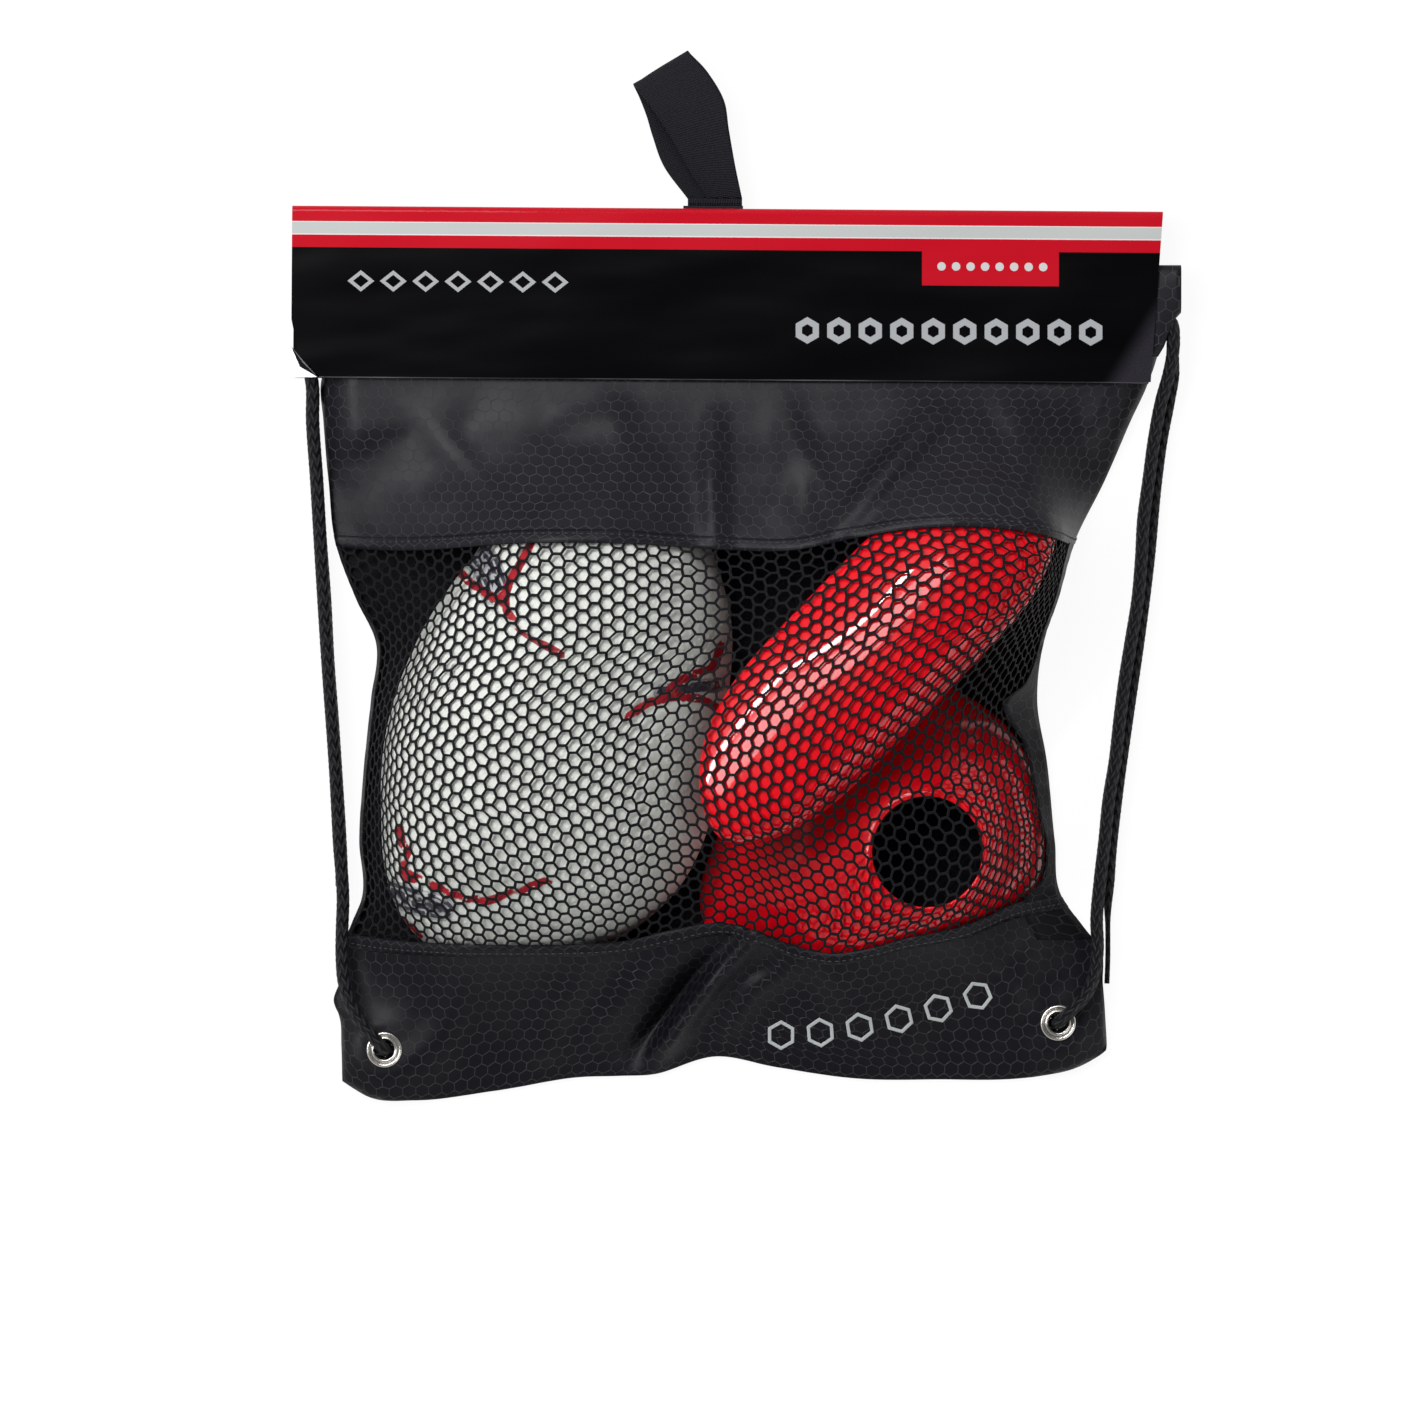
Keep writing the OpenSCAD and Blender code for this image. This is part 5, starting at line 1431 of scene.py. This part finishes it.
class NETBALL_OT_bag(bpy.types.Operator):
    """Models the cloth of the bag: its back, its front panels, its hems and its channels."""

    bl_idname = "netball.bag"
    bl_label = "Bag"

    def execute(self, context):
        lay_front()
        material = cloth_finish()
        # The lower front gets a darker copy of the same cloth, as painted shade
        self.front_panels(context, material, cloth_finish("Lower cloth painted shade", 0.76))
        # The back, seen through the net inside the bag, gets a much darker copy of the same cloth,
        # as painted shade
        self.back_panel(context, cloth_finish("Back cloth painted shade", 0.35))
        self.channels(context, material)
        return {"FINISHED"}

    @staticmethod
    def front_panels(context, material, shaded_lower_material):
        look = context.scene.netball_bag
        top = front_surface(UPPER_SEAM, straight(TOP_SEAM_Y))
        front["top"] = top
        upper = new_piece(
            "top_cloth", lay_on(grid(190, 60), top), material,
            thickness=look.thickness, offset=1.0,
        )
        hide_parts("front_top_panel")
        upper_hem = NETBALL_OT_bag.hem("top_hem", top, (-0.004, look.hem / top.length), material)

        bottom = front_surface(BOTTOM_EDGE, LOWER_SEAM)
        front["bottom"] = bottom
        bm = lay_on(grid(190, 56), bottom)
        cut_eyelet_holes(bm)
        lower = new_piece(
            "bottom_cloth", bm, shaded_lower_material, thickness=look.thickness,
            offset=1.0,
        )
        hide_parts("front_bottom_panel")
        lower_hem = NETBALL_OT_bag.hem(
            "bottom_hem", bottom, (1 - look.hem / bottom.length, 1.004), shaded_lower_material
        )

    @staticmethod
    def hem(name, surface, along, material):
        """The strip that is turned over and sewn down where a panel meets the net."""
        look = bpy.context.scene.netball_bag
        bm = lay_on(grid(190, 4), surface, along, HEM_LIFT)
        return new_piece(name, bm, material, thickness=look.strip)

    @staticmethod
    def back_panel(context, material):
        look = context.scene.netball_bag

        def place(u, v):
            y = between(BOTTOM_EDGE(u), BACK_TOP_Y, v)
            x = between(LEFT_EDGE(y), RIGHT_EDGE(y), u)
            z = between(0.05, 1, np.clip((y - 78) / 6, 0, 1))
            for px, py in EYELET_PLACES:
                r = np.hypot(x - px, y - py)
                lift = np.clip(1 - (r - KNOT_FLAT_R) / KNOT_SLOPE_W, 0, 1)
                z = np.maximum(z, KNOT_LIFT * lift)
            return x * MM, y * MM, z * MM

        surface = Surface(place, 120)
        bm = lay_on(grid(150, 130), surface)
        cut_eyelet_holes(bm)
        piece = new_piece(
            "back_cloth", bm, material, thickness=look.thickness, offset=1.0
        )
        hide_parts("back_panel")

    @staticmethod
    def channels(context, material):
        """Two flattened tubes of cloth, puckered where the cords leave them."""
        look = context.scene.netball_bag
        for node, middle_z in (("rear_channel", 4.8), ("front_channel", 13.1)):
            bm = grid(48, 150)
            for vert in bm.verts:
                vert.co = NETBALL_OT_bag.channel_point(vert.co.x, vert.co.y + 0.5, middle_z)
            close_seam(bm)
            set_uv(bm, NETBALL_OT_bag.channel_uv)
            piece = new_piece(
                node + "_cloth", bm, material, thickness=look.strip, offset=-1.0
            )
            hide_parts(node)

    @staticmethod
    def channel_uv(face, vert):
        side = 1 if face.normal.z > 0 else -1
        return vert.co.x, side * vert.co.y + vert.co.z

    @staticmethod
    def channel_point(around_share, share, middle_z):
        """A point of a channel by its shares around and along, drawn in at its open end."""
        turn = 2 * math.pi * (around_share + 0.5)
        c, s = math.cos(turn), math.sin(turn)
        x = CHANNEL_X + CHANNEL_L * share
        half = CHANNEL_HALF_W - OPEN_END_DRAW * ease(x, *OPEN_END)
        pucker = PUCKER_H * abs(math.sin(x * PUCKER_RATE) * math.sin(turn * 2))
        y = CHANNEL_TOP_Y - half + half * math.copysign(abs(c) ** 0.45, c) - 0.6 * pucker
        z = CHANNEL_HALF_H * math.copysign(abs(s) ** 0.8, s) - math.copysign(0.25 * pucker, s)
        return Vector((x, y, middle_z + z)) * MM


class NETBALL_OT_net(bpy.types.Operator):
    """Models the net of the mesh window and the cloth edging beside it."""

    bl_idname = "netball.net"
    bl_label = "Net"

    def execute(self, context):
        look = context.scene.netball_net
        surface = front_surface(LOWER_SEAM, UPPER_SEAM, 140)
        bm = bmesh.new()
        side = look.column_pitch / 1.5
        stretch = look.row_pitch / (math.sqrt(3) * side)
        columns = math.ceil(surface.width / look.column_pitch) + 1
        rows = math.ceil(surface.length / look.row_pitch) + 1
        turn = Matrix.Rotation(math.radians(30), 4, "Z")
        for c in range(columns + 1):
            for r in range(rows + 1):
                x = c * look.column_pitch
                y = (r + 0.5 * (c % 2)) * look.row_pitch / stretch
                bmesh.ops.create_circle(
                    bm, cap_ends=True, radius=side, segments=6,
                    matrix=Matrix.Translation((x, y, 0)) @ turn,
                )
        bmesh.ops.remove_doubles(bm, verts=bm.verts, dist=side * 0.02)
        cells = list(bm.faces)
        bmesh.ops.inset_individual(bm, faces=cells, thickness=look.strand / 2)
        bmesh.ops.delete(bm, geom=cells, context="FACES_ONLY")
        bmesh.ops.scale(bm, vec=(1, stretch, 1), verts=bm.verts)
        edges = (
            ((0, 0, 0), (-1, 0, 0)), ((surface.width, 0, 0), (1, 0, 0)),
            ((0, 0, 0), (0, -1, 0)), ((0, surface.length, 0), (0, 1, 0)),
        )
        for place, outward in edges:
            bmesh.ops.bisect_plane(
                bm, geom=list(bm.verts) + list(bm.edges) + list(bm.faces), plane_co=place,
                plane_no=outward, clear_outer=True,
            )
        yarn = max(
            sum(face.calc_area() for face in bm.faces), YARN_SHARE * surface.width * surface.length
        )
        bmesh.ops.scale(bm, vec=(1 / surface.width, 1 / surface.length, 1), verts=bm.verts)
        bmesh.ops.translate(bm, vec=(-0.5, -0.5, 0), verts=bm.verts)
        bmesh.ops.recalc_face_normals(bm, faces=bm.faces)
        lay_on(bm, surface, lift=NET_LIFT)
        piece = new_piece(
            "net_window", bm, yarn_finish(), thickness=look.thickness
        )
        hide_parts("mesh_window")

        material = cloth_finish("Edging cloth", 0.55)
        for name, edge, width in (
            ("left_edging", LEFT_EDGE, Line([(y, w) for y, w, _ in EDGING_WIDTHS])),
            ("right_edging", RIGHT_EDGE, Line([(y, -w) for y, _, w in EDGING_WIDTHS])),
        ):
            bm = lay_on(grid(6, 150), self.edging_surface(edge, width), lift=EDGING_LIFT)
            new_piece(
                    name, bm, material, thickness=context.scene.netball_bag.strip
                )
        return {"FINISHED"}

    @staticmethod
    def edging_surface(edge, width):
        """A strip of cloth along one edge of the net, whose width changes along it."""

        def place(u, v):
            y = between(EDGING_WIDTHS[0][0], EDGING_WIDTHS[-1][0], v)
            across = u if width(0.0) > 0 else 1 - u
            x = edge(y) + width(y) * across
            return x * MM, y * MM, front_height(x, y) * MM

        return Surface(place, 160, 8)


class NETBALL_OT_stitches(bpy.types.Operator):
    """Models the rows of stitches that hold the net."""

    bl_idname = "netball.stitches"
    bl_label = "Stitches"

    def execute(self, context):
        look = context.scene.netball_bag
        size = Matrix.Diagonal((*STITCH_SIZE, 1))
        bm = bmesh.new()
        top, bottom = front["top"], front["bottom"]
        rows = (
            (top, look.stitch_from_edge / top.length),
            (bottom, 1 - look.stitch_from_edge / bottom.length),
        )
        for surface, share in rows:
            count = int(surface.width / look.stitch_pitch)
            a = (np.arange(count) + 0.5) / count
            b = np.full(count, share)
            places = surface.at(a, b)
            normals = surface.normal(a, b)
            ahead = surface.at(np.minimum(a + 0.002, 1), b) - places
            for place, normal, run in zip(places, normals, ahead):
                z = Vector(normal).normalized()
                x = Vector(run).normalized()
                y = z.cross(x).normalized()
                x = y.cross(z)
                turn = Matrix((x, y, z)).transposed().to_4x4()
                bmesh.ops.create_icosphere(
                    bm, subdivisions=1, radius=1.0,
                    matrix=Matrix.Translation(Vector(place) + z * STITCH_LIFT) @ turn @ size,
                )
        thread = plain_finish(
            "Sewing thread", (0.012, 0.012, 0.014), (0.04, 0.04, 0.046), 0.6, 1500
        )
        new_piece("hem_stitches", bm, thread)
        return {"FINISHED"}


class NETBALL_OT_motif(bpy.types.Operator):
    """Models a row of plain hexagons printed on the lower front of the bag."""

    bl_idname = "netball.motif"
    bl_label = "Printed Motif"

    def execute(self, context):
        look = context.scene.netball_bag
        bm = bmesh.new()
        for k in range(MOTIF_COUNT):
            share = k / (MOTIF_COUNT - 1)
            x = between(MOTIF_FROM[0], MOTIF_TO[0], share)
            y = between(MOTIF_FROM[1], MOTIF_TO[1], share**1.7)
            place = Matrix.Translation((x * MM, y * MM, 0)) @ Matrix.Rotation(0.4 * share, 4, "Z")
            bmesh.ops.create_circle(
                bm, cap_ends=True, radius=look.motif_r, segments=6, matrix=place
            )
        faces = list(bm.faces)
        bmesh.ops.inset_individual(bm, faces=faces, thickness=look.motif_line)
        bmesh.ops.delete(bm, geom=faces, context="FACES_ONLY")
        bmesh.ops.subdivide_edges(bm, edges=bm.edges, cuts=3, use_grid_fill=True)
        flat = np.array([v.co[:2] for v in bm.verts]) / MM
        for vert, z in zip(bm.verts, front_height(flat[:, 0], flat[:, 1])):
            vert.co.z = (z + 1.0) * MM
        bmesh.ops.recalc_face_normals(bm, faces=bm.faces)
        ink = plain_finish("Silver ink", (0.31, 0.33, 0.33), (0.38, 0.40, 0.40), 0.45, 900)
        new_piece("printed_motif", bm, ink, thickness=0.0002)
        return {"FINISHED"}


class NETBALL_OT_card(bpy.types.Operator):
    """Finishes the header card and models the clear film's edge and curled corner."""

    bl_idname = "netball.card"
    bl_label = "Header Card"

    def execute(self, context):
        dress_node("header_card", card_finish())
        self.film_edge(context.scene.netball_card)
        self.film_corner(context.scene.netball_card)
        return {"FINISHED"}

    @staticmethod
    def film_edge(look):
        """The rim of clear film that stands past the card's lower edge, its uneven grey a painted
        highlight of the film's edge.
        """
        film = Finish("Clear film", Roughness=0.12, Specular_IOR_Level=0.5)
        # Painted highlight: uneven grey along the film's edge, where it catches light
        patchy_tone = film.cloud(film.place(), 12.0, 3.0).step(0.42, 0.68)
        film.set("Base Color", film.mix(patchy_tone, (0.012, 0.012, 0.014), (0.09, 0.09, 0.1)))
        slope = math.tan(math.radians(-CARD_TILT))
        bm = grid(160, 3)
        for vert in bm.verts:
            across = vert.co.y + 0.5
            x = between(*FILM_EDGE_X, vert.co.x + 0.5)
            y = FILM_EDGE_Y + (x - CARD_LEFT_X) * slope - FILM_EDGE_W * across
            vert.co = Vector((x, y, FILM_Z - FILM_EDGE_FALL * across**2)) * MM
        bmesh.ops.recalc_face_normals(bm, faces=bm.faces)
        new_piece("film_edge", bm, film.material, thickness=look.film)

    @staticmethod
    def film_corner(look):
        """The corner of film at the card's cut corner: dark over the card, with a painted highlight
        along its bend, and pale past it, which paints its glint and stands in for the white floor
        seen through it.
        """
        gloss = Finish("Film corner", Specular_IOR_Level=0.5)
        place = gloss.place("UV")
        u = gloss.split(place)[0]
        # Painted highlight: a light line where the film bends over the card's cut edge
        crease = u.step(0.01, 0.03) * (1 - u.step(0.07, 0.1))
        base = gloss.mix(crease, (0.002, 0.002, 0.003), (0.13, 0.13, 0.14))
        # Pale past the cut: a painted glint, and the white floor that would show through the clear
        # film
        gloss.set("Base Color", gloss.mix(u.step(0.3, 0.34), base, (0.9, 0.9, 0.9)))
        gloss.set("Roughness", 0.1 + 0.1 * gloss.cloud(place, 6.0))
        top, low, right = (Vector(point) for point in FILM_CORNER)
        bm = grid(12, 12)
        set_uv(bm, lambda face, vert: (vert.co.x + 0.5, vert.co.y + 0.5))
        for vert in bm.verts:
            a, b = vert.co.x + 0.5, vert.co.y + 0.5
            outer = top.lerp(low, 2 * b) if b < 0.5 else low.lerp(right, 2 * b - 1)
            flat = top.lerp(right, b).lerp(outer, a)
            z = FILM_CORNER_Z - FILM_CORNER_FALL * a * a * math.sin(math.pi * b)
            vert.co = Vector((flat.x, flat.y, z)) * MM
        close_seam(bm)
        new_piece("film_corner", bm, gloss.material, thickness=look.film)


class NETBALL_OT_eyelets(bpy.types.Operator):
    """Finishes the eyelets and their washers."""

    bl_idname = "netball.eyelets"
    bl_label = "Eyelets"

    def execute(self, context):
        nickel = metal_finish()
        dress_node("eyelets", nickel)
        dress_node("eyelet_washers", nickel)
        return {"FINISHED"}


class NETBALL_OT_loop(bpy.types.Operator):
    """Models the loop of woven tape that turns at the card's fold."""

    bl_idname = "netball.loop"
    bl_label = "Hanging Loop"

    def execute(self, context):
        look = context.scene.netball_loop
        material = tape_finish()
        last = len(LOOP_STATIONS) - 1
        edges = [self.edge_lines(side) for side in (0, 1)]

        def place(u, v):
            left, right = (np.stack([line(v * last) for line in lines]) for lines in edges)
            return (left * (1 - u) + right * u) * MM

        surface = Surface(place, 160, 30)
        bm = lay_on(grid(14, 120), surface)
        for vert in bm.verts:
            vert.co.z += TAPE_UNEVEN * noise.noise(vert.co * TAPE_UNEVEN_RATE)
        piece = new_piece(
            "tape_loop", bm, material, body="loop", thickness=look.thickness
        )
        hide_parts("hang_loop")

        shares = [between(*FOOT_SHARES, k / 20) for k in range(21)]
        points = [
            Vector((LOOP_MID_X + share * LOOP_HALF_W, HINGE_Y, HINGE_Z)) * MM for share in shares
        ]
        bm = tube(points, FOOT_R * MM, 24)
        roll = new_piece("tape_foot", bm, material, body="loop")
        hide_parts("hang_loop")
        dress_node("loop_tails", material)
        return {"FINISHED"}

    @staticmethod
    def edge_lines(side):
        """One edge of the tape as three curves, in x, y and z, through its stations."""
        places = [
            (
                LOOP_MID_X + station[side][0] * LOOP_HALF_W,
                HINGE_Y + station[side][1] * LOOP_L,
                HINGE_Z + station[2] * LOOP_H,
            )
            for station in LOOP_STATIONS
        ]
        return [Line(list(enumerate(values))) for values in zip(*places)]


OPERATORS = (
    NETBALL_OT_stage, NETBALL_OT_cords, NETBALL_OT_ball, NETBALL_OT_cones, NETBALL_OT_bag,
    NETBALL_OT_net, NETBALL_OT_stitches, NETBALL_OT_motif, NETBALL_OT_card,
    NETBALL_OT_eyelets, NETBALL_OT_loop,
)


class NETBALL_PT_panel(bpy.types.Panel):
    """Lists the operators in the order in which they are used."""

    bl_idname = "NETBALL_PT_panel"
    bl_label = "Netball Pack"
    bl_space_type = "VIEW_3D"
    bl_region_type = "UI"
    bl_category = "Netball Pack"

    def draw(self, context):
        for cls in OPERATORS:
            self.layout.operator(cls.bl_idname)


SETTINGS = {
    "netball_stage": StageSettings,
    "netball_bag": BagSettings,
    "netball_net": NetSettings,
    "netball_cords": CordSettings,
    "netball_card": CardSettings,
    "netball_loop": LoopSettings,
    "netball_ball": BallSettings,
    "netball_cones": ConeSettings,
}
CLASSES = (*SETTINGS.values(), *OPERATORS, NETBALL_PT_panel)


def register():
    for cls in CLASSES:
        bpy.utils.register_class(cls)
    for name, cls in SETTINGS.items():
        setattr(bpy.types.Scene, name, PointerProperty(type=cls))


def unregister():
    for name in SETTINGS:
        delattr(bpy.types.Scene, name)
    for cls in reversed(CLASSES):
        bpy.utils.unregister_class(cls)


def main():
    register()
    for cls in OPERATORS:
        getattr(bpy.ops.netball, cls.bl_idname.split(".")[1])()
    bpy.context.view_layer.update()


if __name__ == "__main__":
    main()
